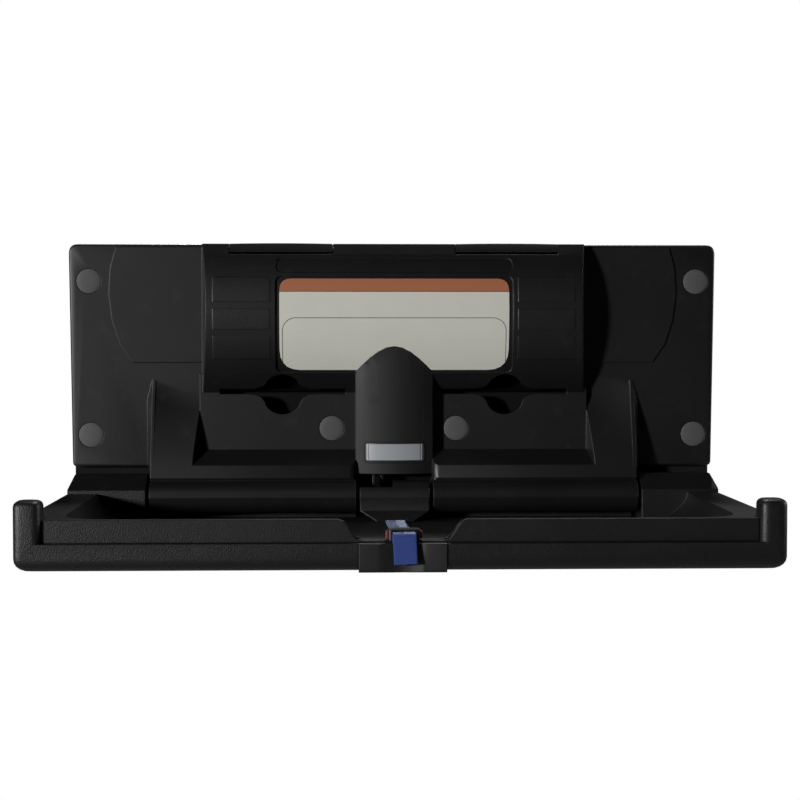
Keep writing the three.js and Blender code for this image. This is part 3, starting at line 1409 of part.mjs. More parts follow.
function wallUnit() {
  const group = new THREE.Group();
  addPiece(group, "wall_shell", wallShell(), "moulding");
  addPiece(group, "back_plate", backPlate(), "moulding");
  SIDES.forEach((side) => {
    const name = sideName(side);
    addPiece(group, `liner_bin_${name}`, linerBin(side), "bin");
    addPiece(group, `liner_lid_${name}`, linerLid(side), "moulding");
    addPiece(group, `lid_pin_${name}`, lidPin(side), "steel");
    addPiece(group, `hinge_bush_inner_${name}`, hingeBush(side * BARREL_INNER_END, -side), "nylon");
    addPiece(group, `hinge_bush_outer_${name}`, hingeBush(side * BARREL_OUTER_END, side), "nylon");
  });
  SCREWS.forEach((screw, index) => {
    addPiece(group, `screw_cap_${index + 1}`, screwCap(screw), "cap");
  });
  addPiece(group, "label_plate", labelPlate(), "label");
  addPiece(group, "badge_plate", badgePlate(), "badge");
  addPiece(group, "hinge_rod", hingeRod(), "steel");
  addPiece(group, "strut_bracket", strutBracket(), "steel");
  addPiece(group, "strut_pin", strutPin(), "steel");
  addPiece(group, "gas_cylinder", gasCylinder(), "strut");
  addPiece(group, "gas_rod", gasRod(), "steel");
  addPiece(group, "rod_clevis", rodClevis(), "strut");
  addPiece(group, "clevis_pin", clevisPin(), "strut");
  return group;
}

function foldingBed() {
  const group = new THREE.Group();
  group.position.set(0, -HINGE_REACH, HINGE_Z);
  addPiece(group, "door_shell", doorShell(), "grained");
  addPiece(group, "bed_pan", bedPan(), "grained");
  addPiece(group, "pull_block", pullBlock(), "pull");
  addPiece(group, "crank_arm", crankArm(), "strut");
  SIDES.forEach((side) => {
    addPiece(group, `rod_plug_${sideName(side)}`, rodPlug(side), "nylon");
    addPiece(group, `release_prong_${sideName(side)}`, releaseProng(side), "prong");
  });
  addPiece(group, "bed_strap", bedStrap(), "webbing");
  addPiece(group, "tail_strap", tailStrap(), "webbing");
  addPiece(group, "anchor_strap", anchorStrap(), "webbing");
  addPiece(group, "buckle_body", buckleBody(), "buckle");
  addPiece(group, "buckle_tongue", buckleTongue(), "buckle");
  return group;
}

const changingStation = new THREE.Group();
changingStation.add(wallUnit(), foldingBed());

export default changingStation;
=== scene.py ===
"""Looks of a wall-mounted baby changing station that stands open.

The frame gives the solids. This script dresses them with procedural finishes, adds the woven straps and the
dot pads, and sets up the studio. Metres, +Z up, and the wall is the plane Y = 0.
"""

from __future__ import annotations

import json
import logging
import math
from dataclasses import dataclass
from enum import Enum
from typing import Any, Iterable, Sequence

import bpy
import numpy as np
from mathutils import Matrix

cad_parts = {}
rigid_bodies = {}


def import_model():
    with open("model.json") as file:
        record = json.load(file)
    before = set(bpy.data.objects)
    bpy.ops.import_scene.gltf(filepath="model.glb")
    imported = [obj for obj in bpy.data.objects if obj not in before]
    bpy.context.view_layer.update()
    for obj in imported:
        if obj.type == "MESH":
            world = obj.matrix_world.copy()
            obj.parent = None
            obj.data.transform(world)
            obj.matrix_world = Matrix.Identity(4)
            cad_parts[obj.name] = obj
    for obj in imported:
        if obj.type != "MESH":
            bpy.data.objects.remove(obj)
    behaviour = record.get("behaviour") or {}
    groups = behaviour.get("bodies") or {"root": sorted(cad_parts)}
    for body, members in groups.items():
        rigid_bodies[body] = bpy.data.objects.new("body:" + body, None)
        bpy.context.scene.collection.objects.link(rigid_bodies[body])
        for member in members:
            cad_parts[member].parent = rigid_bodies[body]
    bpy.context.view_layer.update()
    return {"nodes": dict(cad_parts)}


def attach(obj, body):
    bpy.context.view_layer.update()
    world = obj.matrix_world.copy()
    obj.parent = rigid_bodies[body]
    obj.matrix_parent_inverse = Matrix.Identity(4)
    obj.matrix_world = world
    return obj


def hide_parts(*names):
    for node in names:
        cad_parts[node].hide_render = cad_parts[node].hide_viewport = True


LOG = logging.getLogger("changing_station")
MM = 0.001
STRAP_MAP = "strap"
# The black painted into the recess at the panel's foot, as painted shade.
PAINTED_SHADE_BLACK = (0.0, 0.0, 0.0)
WHITE = (1.0, 1.0, 1.0, 1.0)

Colour = tuple[float, float, float]
Point = tuple[float, float, float]


class Side(Enum):
    """The two halves of the station, seen from the front."""

    LEFT = -1
    RIGHT = 1


class Grain(Enum):
    """Surface textures of the moulded plastic."""

    SMOOTH = "smooth"
    PEBBLED = "pebbled"


def toned(colour: Colour, gain: float, lift: float = 0.0) -> Colour:
    """Makes a colour lighter or darker.

    Args:
        colour: the colour.
        gain: what each part of it is multiplied by.
        lift: what is added to each part after that.

    Returns:
        The new colour, with no part over 1.
    """
    red, green, blue = (min(1.0, gain * part + lift) for part in colour)
    return red, green, blue


class Shade:
    """A shader socket that can be used in Python arithmetic."""

    def __init__(self, graph: "Graph", socket: bpy.types.NodeSocket) -> None:
        """Wraps a socket.

        Args:
            graph: the graph that the socket is in.
            socket: the socket.
        """
        self.graph = graph
        self.socket = socket

    def _math(self, operation: str, first: Any, second: Any) -> "Shade":
        """Adds one Math node.

        Args:
            operation: the Math node's operation.
            first: the first value, a Shade or a number.
            second: the second value, a Shade or a number.

        Returns:
            The node's result.
        """
        node = self.graph.node("ShaderNodeMath", {"operation": operation}, {0: first, 1: second})
        return Shade(self.graph, node.outputs[0])

    def __add__(self, other: Any) -> "Shade":
        """Sum."""
        return self._math("ADD", self, other)

    __radd__ = __add__

    def __sub__(self, other: Any) -> "Shade":
        """Difference."""
        return self._math("SUBTRACT", self, other)

    def __mul__(self, other: Any) -> "Shade":
        """Product."""
        return self._math("MULTIPLY", self, other)

    __rmul__ = __mul__

    def __gt__(self, other: Any) -> "Shade":
        """1 where this is the larger, else 0."""
        return self._math("GREATER_THAN", self, other)

    def __lt__(self, other: Any) -> "Shade":
        """1 where this is the smaller, else 0."""
        return self._math("LESS_THAN", self, other)

    def wave(self) -> "Shade":
        """Sine of this value, brought to 0 to 1."""
        return self._math("SINE", self, 0.0) * 0.5 + 0.5

    def magnitude(self) -> "Shade":
        """This value without its sign."""
        return self._math("ABSOLUTE", self, 0.0)

    def positive(self) -> "Shade":
        """This value, or 0 where it is below 0."""
        return self._math("MAXIMUM", self, 0.0)

    def ramp(self, low: float, high: float) -> "Shade":
        """Rises smoothly from 0 to 1.

        Args:
            low: where the rise starts.
            high: where it ends.

        Returns:
            The share from 0 to 1.
        """
        node = self.graph.node(
            "ShaderNodeMapRange",
            {"interpolation_type": "SMOOTHSTEP"},
            {"Value": self, "From Min": low, "From Max": high},
        )
        return Shade(self.graph, node.outputs[0])


class Graph:
    """A material's nodes, with one method that adds any of them."""

    PEBBLE_SMOOTHNESS = 0.6
    EDGE_SAMPLES = 6

    def __init__(self, name: str) -> None:
        """Starts a material with an empty node tree.

        Args:
            name: the material's name.
        """
        self.material = bpy.data.materials.new(name)
        self.material.use_nodes = True
        self.tree = self.material.node_tree
        self.tree.nodes.clear()

    def node(self, kind: str, settings: dict[str, Any], inputs: dict[Any, Any]) -> bpy.types.Node:
        """Adds a node.

        Args:
            kind: the node's type name.
            settings: properties to set on it first.
            inputs: values or Shades for its sockets, by name or number.

        Returns:
            The new node.
        """
        node = self.tree.nodes.new(kind)
        for key, value in settings.items():
            setattr(node, key, value)
        for key, value in inputs.items():
            socket = node.inputs[key]
            if isinstance(value, Shade):
                self.tree.links.new(value.socket, socket)
            else:
                socket.default_value = value
        return node

    def output(self, node: bpy.types.Node, key: Any = 0) -> Shade:
        """Wraps an output of a node.

        Args:
            node: the node.
            key: the output's name or number.

        Returns:
            The output as a Shade.
        """
        return Shade(self, node.outputs[key])

    def coordinates(self) -> Shade:
        """The Object coordinates."""
        return self.output(self.node("ShaderNodeTexCoord", {}, {}), "Object")

    def axes(self, vector: Shade) -> tuple[Shade, Shade, Shade]:
        """Splits a vector.

        Args:
            vector: the vector.

        Returns:
            Its three parts.
        """
        node = self.node("ShaderNodeSeparateXYZ", {}, {0: vector})
        return self.output(node, 0), self.output(node, 1), self.output(node, 2)

    def noise(self, vector: Shade, scale: float, detail: float) -> Shade:
        """Soft noise.

        Args:
            vector: where it is read.
            scale: features per metre.
            detail: octaves.

        Returns:
            The noise, about 0 to 1.
        """
        inputs = {"Vector": vector, "Scale": scale, "Detail": detail}
        return self.output(self.node("ShaderNodeTexNoise", {}, inputs), 0)

    def pebbles(self, vector: Shade, scale: float) -> Shade:
        """Moulded leather-like grain.

        Args:
            vector: where it is read.
            scale: pebbles per metre.

        Returns:
            The distance to the nearest of scattered points, with its creases softened.
        """
        settings = {"feature": "SMOOTH_F1"}
        inputs = {"Vector": vector, "Scale": scale, "Smoothness": self.PEBBLE_SMOOTHNESS}
        return self.output(self.node("ShaderNodeTexVoronoi", settings, inputs), "Distance")

    def blend(self, share: Any, first: Any, second: Any) -> Shade:
        """A colour between two colours.

        Args:
            share: 0 for the first colour, 1 for the second.
            first: a colour or a Shade.
            second: a colour or a Shade.

        Returns:
            The mixed colour.
        """
        rgba = [value if isinstance(value, Shade) else (*value, 1.0) for value in (first, second)]
        node = self.node("ShaderNodeMix", {"data_type": "RGBA"}, {0: share, 6: rgba[0], 7: rgba[1]})
        return self.output(node, 2)

    def bump(self, height: Shade, distance: float, strength: float, edge: float) -> Shade:
        """A normal from a height, over edges rounded by a given radius.

        Args:
            height: the height, about 0 to 1.
            distance: what a height of 1 stands for, in metres.
            strength: how much of it shows.
            edge: radius of the rounded edges, in metres, or 0 for edges left as they are.

        Returns:
            The normal.
        """
        inputs: dict[Any, Any] = {"Height": height, "Distance": distance, "Strength": strength}
        if edge > 0:
            rounded = self.node("ShaderNodeBevel", {"samples": self.EDGE_SAMPLES}, {"Radius": edge})
            inputs["Normal"] = self.output(rounded)
        return self.output(self.node("ShaderNodeBump", {}, inputs))

    def finish(self, **inputs: Any) -> bpy.types.Material:
        """Closes the material with a Principled shader.

        Args:
            **inputs: its sockets, with underscores for spaces.

        Returns:
            The material.
        """
        named = {key.replace("_", " "): value for key, value in inputs.items()}
        shader = self.node("ShaderNodeBsdfPrincipled", {}, named)
        self.node("ShaderNodeOutputMaterial", {}, {0: self.output(shader)})
        return self.material


@dataclass(frozen=True)
class DullAndShadedZones:
    """Places where a moulding changes: a duller column in the middle, and a recess at the foot painted black
    as painted shade.

    Attributes:
        column_half: half the column's width.
        column_top: the column's top.
        column_gain: roughness that the column adds.
        recess_top: the recess, painted black as painted shade, lies below this height.
        recess_front: the recess lies behind this depth.
    """

    column_half: float
    column_top: float
    column_gain: float
    recess_top: float
    recess_front: float


@dataclass(frozen=True)
class MouldedPlastic:
    """Moulded plastic with grain, slight gloss changes, handling marks and rounded edges.

    Attributes:
        name: the material's name.
        colour: its base colour.
        roughness: its mean roughness.
        grain: its texture.
        grain_size: spacing of the pebbles in a pebbled texture.
        grain_depth: depth of the texture.
        edge: radius of the rounded edges.
        wear: how strongly handling marks show, from 0 to 1.
        gloss: level of the mirror reflection.
        polish: weight of a thin glossier skin.
        polish_roughness: roughness of that skin.
        zones: duller places and a recess painted black as painted shade, if it has any.
    """

    CLOUD_SCALE = 9.0
    CLOUD_DETAIL = 3.0
    CLOUD_SHADE = 0.8
    CLOUD_SWING = 0.1
    FINE_SIZE = 0.6 * MM
    FINE_DETAIL = 1.0
    FINE_ON_PEBBLES = 0.25
    RIPPLE_SCALE = 260.0
    RIPPLE_DETAIL = 2.0
    RIPPLE_SHARE = 0.5
    MARK_SCALE = 55.0
    MARK_DETAIL = 5.0
    MARK_RANGE = (0.56, 0.74)
    MARK_SHARE = 0.55
    MARK_DULLING = 0.08
    WORN_GAIN = 1.35
    WORN_LIFT = 0.002
    BUMP_STRENGTH = 0.6

    name: str
    colour: Colour
    roughness: float
    grain: Grain = Grain.SMOOTH
    grain_size: float = 1.25 * MM
    grain_depth: float = 0.12 * MM
    edge: float = 1.6 * MM
    wear: float = 0.5
    gloss: float = 0.5
    polish: float = 0.05
    polish_roughness: float = 0.24
    zones: DullAndShadedZones | None = None

    def build(self) -> bpy.types.Material:
        """Makes the material."""
        graph = Graph(self.name)
        place = graph.coordinates()
        cloud = graph.noise(place, self.CLOUD_SCALE, self.CLOUD_DETAIL)
        marks = graph.noise(place, self.MARK_SCALE, self.MARK_DETAIL).ramp(*self.MARK_RANGE)
        worn = toned(self.colour, self.WORN_GAIN, self.WORN_LIFT)
        colour = graph.blend(cloud, toned(self.colour, self.CLOUD_SHADE), self.colour)
        colour = graph.blend(marks * (self.MARK_SHARE * self.wear), colour, worn)
        roughness = self.roughness - self.CLOUD_SWING / 2 + self.CLOUD_SWING * cloud
        roughness = roughness + self.MARK_DULLING * self.wear * marks
        # The zones dull the column and paint the foot's recess black as painted shade.
        if self.zones is not None:
            colour, roughness = self._dulled_and_shaded(graph, place, colour, roughness)
        normal = graph.bump(self._height(graph, place), self.grain_depth, self.BUMP_STRENGTH, self.edge)
        return graph.finish(
            Base_Color=colour,
            Roughness=roughness,
            Normal=normal,
            Specular_IOR_Level=self.gloss,
            Coat_Weight=self.polish,
            Coat_Roughness=self.polish_roughness,
        )

    def _height(self, graph: Graph, place: Shade) -> Shade:
        """The texture's height.

        Args:
            graph: the material's nodes.
            place: where it is read.

        Returns:
            The height, about 0 to 1.
        """
        fine = graph.noise(place, 1.0 / self.FINE_SIZE, self.FINE_DETAIL)
        if self.grain is Grain.PEBBLED:
            return graph.pebbles(place, 1.0 / self.grain_size) + self.FINE_ON_PEBBLES * fine
        ripple = graph.noise(place, self.RIPPLE_SCALE, self.RIPPLE_DETAIL)
        return (1.0 - self.RIPPLE_SHARE) * fine + self.RIPPLE_SHARE * ripple

    def _dulled_and_shaded(self, graph: Graph, place: Shade, colour: Shade, roughness: Shade) -> tuple[Shade, Shade]:
        """Dulls the column, and makes the recess fully rough and painted black as painted shade.

        Args:
            graph: the material's nodes.
            place: where the zones are read.
            colour: the colour elsewhere.
            roughness: the roughness elsewhere.

        Returns:
            The colour and the roughness with the zones.
        """
        x, y, z = graph.axes(place)
        column = (x.magnitude() < self.zones.column_half) * (z < self.zones.column_top)
        recess = (z < self.zones.recess_top) * (y > self.zones.recess_front)
        # Painted shade: the recess under the wings is painted black.
        colour = graph.blend(recess, colour, PAINTED_SHADE_BLACK)
        roughness = roughness + column * self.zones.column_gain + recess * (1.0 - self.roughness)
        return colour, roughness


@dataclass(frozen=True)
class PlatedSteel:
    """Zinc-plated steel with faint drawing lines.

    Attributes:
        name: the material's name.
        colour: its brightest colour.
        roughness: its lowest roughness.
    """

    CLOUD_SCALE = 40.0
    CLOUD_DETAIL = 3.0
    CLOUD_SHADE = 0.72
    CLOUD_SWING = 0.15
    LINE_SCALE = 900.0
    LINE_DETAIL = 1.0
    LINE_DEPTH = 0.03 * MM
    LINE_STRENGTH = 0.4
    EDGE = 0.5 * MM

    name: str
    colour: Colour = (0.55, 0.56, 0.57)
    roughness: float = 0.34

    def build(self) -> bpy.types.Material:
        """Makes the material."""
        graph = Graph(self.name)
        place = graph.coordinates()
        cloud = graph.noise(place, self.CLOUD_SCALE, self.CLOUD_DETAIL)
        lines = graph.noise(place, self.LINE_SCALE, self.LINE_DETAIL)
        return graph.finish(
            Base_Color=graph.blend(cloud, toned(self.colour, self.CLOUD_SHADE), self.colour),
            Roughness=self.roughness + self.CLOUD_SWING * cloud,
            Normal=graph.bump(lines, self.LINE_DEPTH, self.LINE_STRENGTH, self.EDGE),
            Metallic=1.0,
        )


@dataclass(frozen=True)
class BlankSheet:
    """A blank sheet: a coloured band along its top, thin rules, and a plain rounded field below.

    Attributes:
        name: the material's name.
        colour: the sheet's colour.
        band: the band's colour.
        rule: the colour of the thin lines.
        half: half the sheet's width.
        low: the sheet's lower edge.
        high: the sheet's upper edge.
        band_low: the band's lower edge.
        field_high: the field's upper edge.
        field_round: radius of the field's upper corners.
        border: width of a line round the sheet, or 0 for none.
        roughness: its mean roughness.
    """

    RULE_WIDTH = 0.9 * MM
    FIELD_INSET = 4 * RULE_WIDTH
    CLOUD_SCALE = 30.0
    CLOUD_DETAIL = 3.0
    CLOUD_SHADE = 0.93
    CLOUD_SWING = 0.08
    GRAIN_SCALE = 700.0
    GRAIN_DETAIL = 2.0
    GRAIN_DEPTH = 0.02 * MM
    GRAIN_STRENGTH = 0.3
    EDGE = 0.4 * MM

    name: str
    colour: Colour
    band: Colour
    rule: Colour
    half: float
    low: float
    high: float
    band_low: float
    field_high: float
    field_round: float
    border: float = 0.0
    roughness: float = 0.42

    def build(self) -> bpy.types.Material:
        """Makes the material."""
        graph = Graph(self.name)
        place = graph.coordinates()
        x, _, z = graph.axes(place)
        cloud = graph.noise(place, self.CLOUD_SCALE, self.CLOUD_DETAIL)
        colour = graph.blend(cloud, toned(self.colour, self.CLOUD_SHADE), self.colour)
        colour = graph.blend(z > self.band_low, colour, self.band)
        lines = (z > self.band_low - self.RULE_WIDTH) * (z < self.band_low) + self._field_edge(x, z)
        if self.border > 0:
            lines = lines + (x.magnitude() > self.half - self.border)
            lines = lines + (z < self.low + self.border) + (z > self.high - self.border)
        colour = graph.blend(lines > 0.5, colour, self.rule)
        grain = graph.noise(place, self.GRAIN_SCALE, self.GRAIN_DETAIL)
        return graph.finish(
            Base_Color=colour,
            Roughness=self.roughness - self.CLOUD_SWING / 2 + self.CLOUD_SWING * cloud,
            Normal=graph.bump(grain, self.GRAIN_DEPTH, self.GRAIN_STRENGTH, self.EDGE),
        )

    def _field_edge(self, x: Shade, z: Shade) -> Shade:
        """A thin line round the lower field, whose upper corners are rounded.

        The line is where max(|x| - a, 0)^2 + max(z - b, 0)^2 lies just inside the corner's radius squared.

        Args:
            x: place across the sheet.
            z: place up the sheet.

        Returns:
            1 on the line, else 0.
        """
        side = (x.magnitude() - (self.half - self.FIELD_INSET - self.field_round)).positive()
        top = (z - (self.field_high - self.field_round)).positive()
        apart = side * side + top * top
        inner = self.field_round - self.RULE_WIDTH
        return (apart > inner**2) * (apart < self.field_round**2)


@dataclass(frozen=True)
class WovenWebbing:
    """Flat woven webbing: a herringbone of yarns across and along the strap, with fuzz and soiling.

    Attributes:
        name: the material's name.
        colour: the yarn's colour.
        yarn: spacing of the yarns.
        roughness: its lowest roughness.
        sheen: weight of the soft gloss of its fibres.
        sheen_roughness: roughness of that gloss.
        sheen_tint: colour of that gloss.
    """

    SLANT = 0.9
    PICK_RATE = 0.8
    PICK_SHARE = 0.35
    FUZZ_SCALE = 2200.0
    FUZZ_DETAIL = 2.0
    FUZZ_SHARE = 0.2
    SOIL_SCALE = 70.0
    SOIL_DETAIL = 4.0
    SOIL_SHARE = 0.25
    DARK_GAIN = 0.5
    PALE_GAIN = 1.25
    PALE_LIFT = 0.02
    WEAVE_DEPTH = 0.3 * MM
    WEAVE_STRENGTH = 0.7

    name: str
    colour: Colour
    yarn: float = 1.5 * MM
    roughness: float = 0.62
    sheen: float = 0.4
    sheen_roughness: float = 0.4
    sheen_tint: Colour = (0.7, 0.8, 1.0)

    def build(self) -> bpy.types.Material:
        """Makes the material, which reads lengths in metres from the strap's own map."""
        graph = Graph(self.name)
        flat = graph.output(graph.node("ShaderNodeUVMap", {"uv_map": STRAP_MAP}, {}))
        run, across, _ = graph.axes(flat)
        turns = 2 * math.pi / self.yarn
        ribs = ((across.magnitude() * self.SLANT + run) * turns).wave()
        picks = (across * (turns * self.PICK_RATE)).wave()
        weave = ribs * (1.0 - self.PICK_SHARE) + picks * self.PICK_SHARE
        place = graph.coordinates()
        fuzz = graph.noise(place, self.FUZZ_SCALE, self.FUZZ_DETAIL) * self.FUZZ_SHARE
        soil = graph.noise(place, self.SOIL_SCALE, self.SOIL_DETAIL)
        dark = toned(self.colour, self.DARK_GAIN)
        pale = toned(self.colour, self.PALE_GAIN, self.PALE_LIFT)
        colour = graph.blend(weave * (1.0 - self.FUZZ_SHARE) + fuzz, dark, pale)
        colour = graph.blend(soil * self.SOIL_SHARE, colour, dark)
        return graph.finish(
            Base_Color=colour,
            Roughness=self.roughness + fuzz,
            Normal=graph.bump(weave + fuzz, self.WEAVE_DEPTH, self.WEAVE_STRENGTH, 0.0),
            Sheen_Weight=self.sheen,
            Sheen_Roughness=self.sheen_roughness,
            Sheen_Tint=(*self.sheen_tint, 1.0),
        )


class Meshes:
    """Meshes from whole arrays of points."""

    OUTLINE_POINTS = 36
    SIDE_POWER = 0.25
    FACE_POWER = 0.5
    EASE_SAMPLES = 21

    @staticmethod
    def grid(
        name: str, points: np.ndarray, closed: bool, uv: np.ndarray | None = None,
    ) -> bpy.types.Object:
        """Makes an object from a grid of points.

        Args:
            name: the object's name.
            points: rows x columns x 3, in metres.
            closed: whether the last column joins the first, with caps over the first and last row.
            uv: rows x (columns + 1) x 2, the map of a closed grid's faces.

        Returns:
            The object, at the origin.
        """
        rows, columns = points.shape[:2]
        count = columns if closed else columns - 1
        row, column = np.meshgrid(np.arange(rows - 1), np.arange(count), indexing="ij")
        after = (column + 1) % columns
        this_row = row * columns
        next_row = this_row + columns
        corners = [this_row + column, this_row + after, next_row + after, next_row + column]
        faces: list[list[int]] = np.stack(corners, axis=-1).reshape(-1, 4).tolist()
        if closed:
            faces.append(list(range(columns - 1, -1, -1)))
            faces.append(list(range((rows - 1) * columns, rows * columns)))
        mesh = bpy.data.meshes.new(name)
        mesh.from_pydata(points.reshape(-1, 3).tolist(), [], faces)
        if uv is not None:
            Meshes._write_map(mesh, uv)
        mesh.polygons.foreach_set("use_smooth", np.ones(len(mesh.polygons), dtype=bool))
        mesh.update()
        thing = bpy.data.objects.new(name, mesh)
        bpy.context.scene.collection.objects.link(thing)
        return thing

    @staticmethod
    def _write_map(mesh: bpy.types.Mesh, uv: np.ndarray) -> None:
        """Writes the map of a closed grid's quads, and of its caps from the end rows.

        Args:
            mesh: the closed grid's mesh.
            uv: rows x (columns + 1) x 2, the map in metres.
        """
        corners = [uv[:-1, :-1], uv[:-1, 1:], uv[1:, 1:], uv[1:, :-1]]
        quads = np.stack(corners, axis=2).reshape(-1, 2)
        flat = np.concatenate([quads, uv[0, -2::-1], uv[-1, :-1]])
        layer = mesh.uv_layers.new(name=STRAP_MAP)
        layer.data.foreach_set("uv", flat.astype(np.float32).ravel())

    @staticmethod
    def distance_along(points: np.ndarray) -> np.ndarray:
        """Length of a line up to each of its points.

        Args:
            points: rows x 3.

        Returns:
            One length per row, from 0.
        """
        steps = np.linalg.norm(np.diff(points, axis=0), axis=1)
        return np.concatenate([[0.0], np.cumsum(steps)])

    @staticmethod
    def unit(vectors: np.ndarray) -> np.ndarray:
        """Vectors brought to a length of 1.

        Args:
            vectors: rows x 3.

        Returns:
            Unit vectors, rows x 3.
        """
        return vectors / np.linalg.norm(vectors, axis=1, keepdims=True)

    @staticmethod
    def ribbon(name: str, path: np.ndarray, width: float, thick: float) -> bpy.types.Object:
        """A flat strap: a rounded rectangle carried along a path, as level across as the path lets it be.

        The outline is (w/2 sgn(cos t)|cos t|^0.25, h/2 sgn(sin t)|sin t|^0.5) for t round the circle.

        Args:
            name: the object's name.
            path: the strap's middle line, rows x 3.
            width: the strap's width.
            thick: the strap's thickness.

        Returns:
            The object, with a map in metres along and across it.
        """
        turn = np.linspace(0, 2 * np.pi, Meshes.OUTLINE_POINTS, endpoint=False)
        flat = np.sign(np.cos(turn)) * np.abs(np.cos(turn)) ** Meshes.SIDE_POWER * width / 2
        deep = np.sign(np.sin(turn)) * np.abs(np.sin(turn)) ** Meshes.FACE_POWER * thick / 2
        along = Meshes.unit(np.gradient(path, axis=0))
        across = np.tile([1.0, 0.0, 0.0], (len(path), 1))
        across = Meshes.unit(across - along * np.sum(along * across, axis=1, keepdims=True))
        up = np.cross(along, across)
        sideways = across[:, None, :] * flat[None, :, None]
        upwards = up[:, None, :] * deep[None, :, None]
        run = Meshes.distance_along(path)
        over = np.append(flat, flat[0])
        uv = np.stack(np.broadcast_arrays(run[:, None], over[None, :]), axis=-1)
        return Meshes.grid(name, path[:, None, :] + sideways + upwards, True, uv)

    @staticmethod
    def smooth_path(corners: Sequence[Sequence[float]], count: int, ease: float) -> np.ndarray:
        """A line through corners, resampled evenly and eased by averaging over a length.

        The average has weights 1 + cos(pi s / e) for offsets s from -e to e, and e shrinks towards both ends.

        Args:
            corners: points of the line, in metres.
            count: how many points to return.
            ease: the length e over which the corners are eased.

        Returns:
            count x 3 points.
        """
        knots = np.array(corners, float)
        run = Meshes.distance_along(knots)
        at = np.linspace(0, run[-1], count)
        offsets = np.linspace(-ease, ease, Meshes.EASE_SAMPLES)
        shrink = np.minimum(1, np.minimum(at, run[-1] - at) / ease)
        reach = np.clip(at[:, None] + offsets[None, :] * shrink[:, None], 0, run[-1])
        weight = 1 + np.cos(np.pi * offsets / ease)
        parts = [np.interp(reach, run, knots[:, axis]) @ weight / weight.sum() for axis in range(3)]
        return np.stack(parts, axis=1)


class Dresser:
    """Gives the frame's own nodes their finish and smooth shading."""

    WELD_WITHIN = 0.01 * MM
    SHARP_OVER = 28.0

    def __init__(self, nodes: dict[str, bpy.types.Object]) -> None:
        """Keeps the frame's nodes.

        Args:
            nodes: the nodes by name.
        """
        self.nodes = nodes

    def dress(self, names: Iterable[str], material: bpy.types.Material, angle: float = SHARP_OVER) -> None:
        """Shades nodes smoothly up to an angle and gives them a finish.

        Args:
            names: the nodes.
            material: the finish.
            angle: edges sharper than this many degrees stay sharp.
        """
        for name in names:
            node = self.nodes[name]
            mesh = node.data
            mesh.materials.clear()
            mesh.materials.append(material)
            if "custom_normal" in mesh.attributes:
                mesh.attributes.remove(mesh.attributes["custom_normal"])
            mesh.polygons.foreach_set("use_smooth", np.ones(len(mesh.polygons), dtype=bool))
            weld = node.modifiers.new("weld", "WELD")
            weld.merge_threshold = self.WELD_WITHIN
            split = node.modifiers.new("split", "EDGE_SPLIT")
            split.split_angle = math.radians(angle)
            LOG.info("dressed %s", name)


def place_piece(thing: bpy.types.Object, material: bpy.types.Material, body: str) -> None:
    """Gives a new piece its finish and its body.

    Args:
        thing: the piece.
        material: its finish.
        body: the body that it rides on.
    """
    thing.data.materials.append(material)
    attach(thing, body)
    LOG.info("made %s", thing.name)


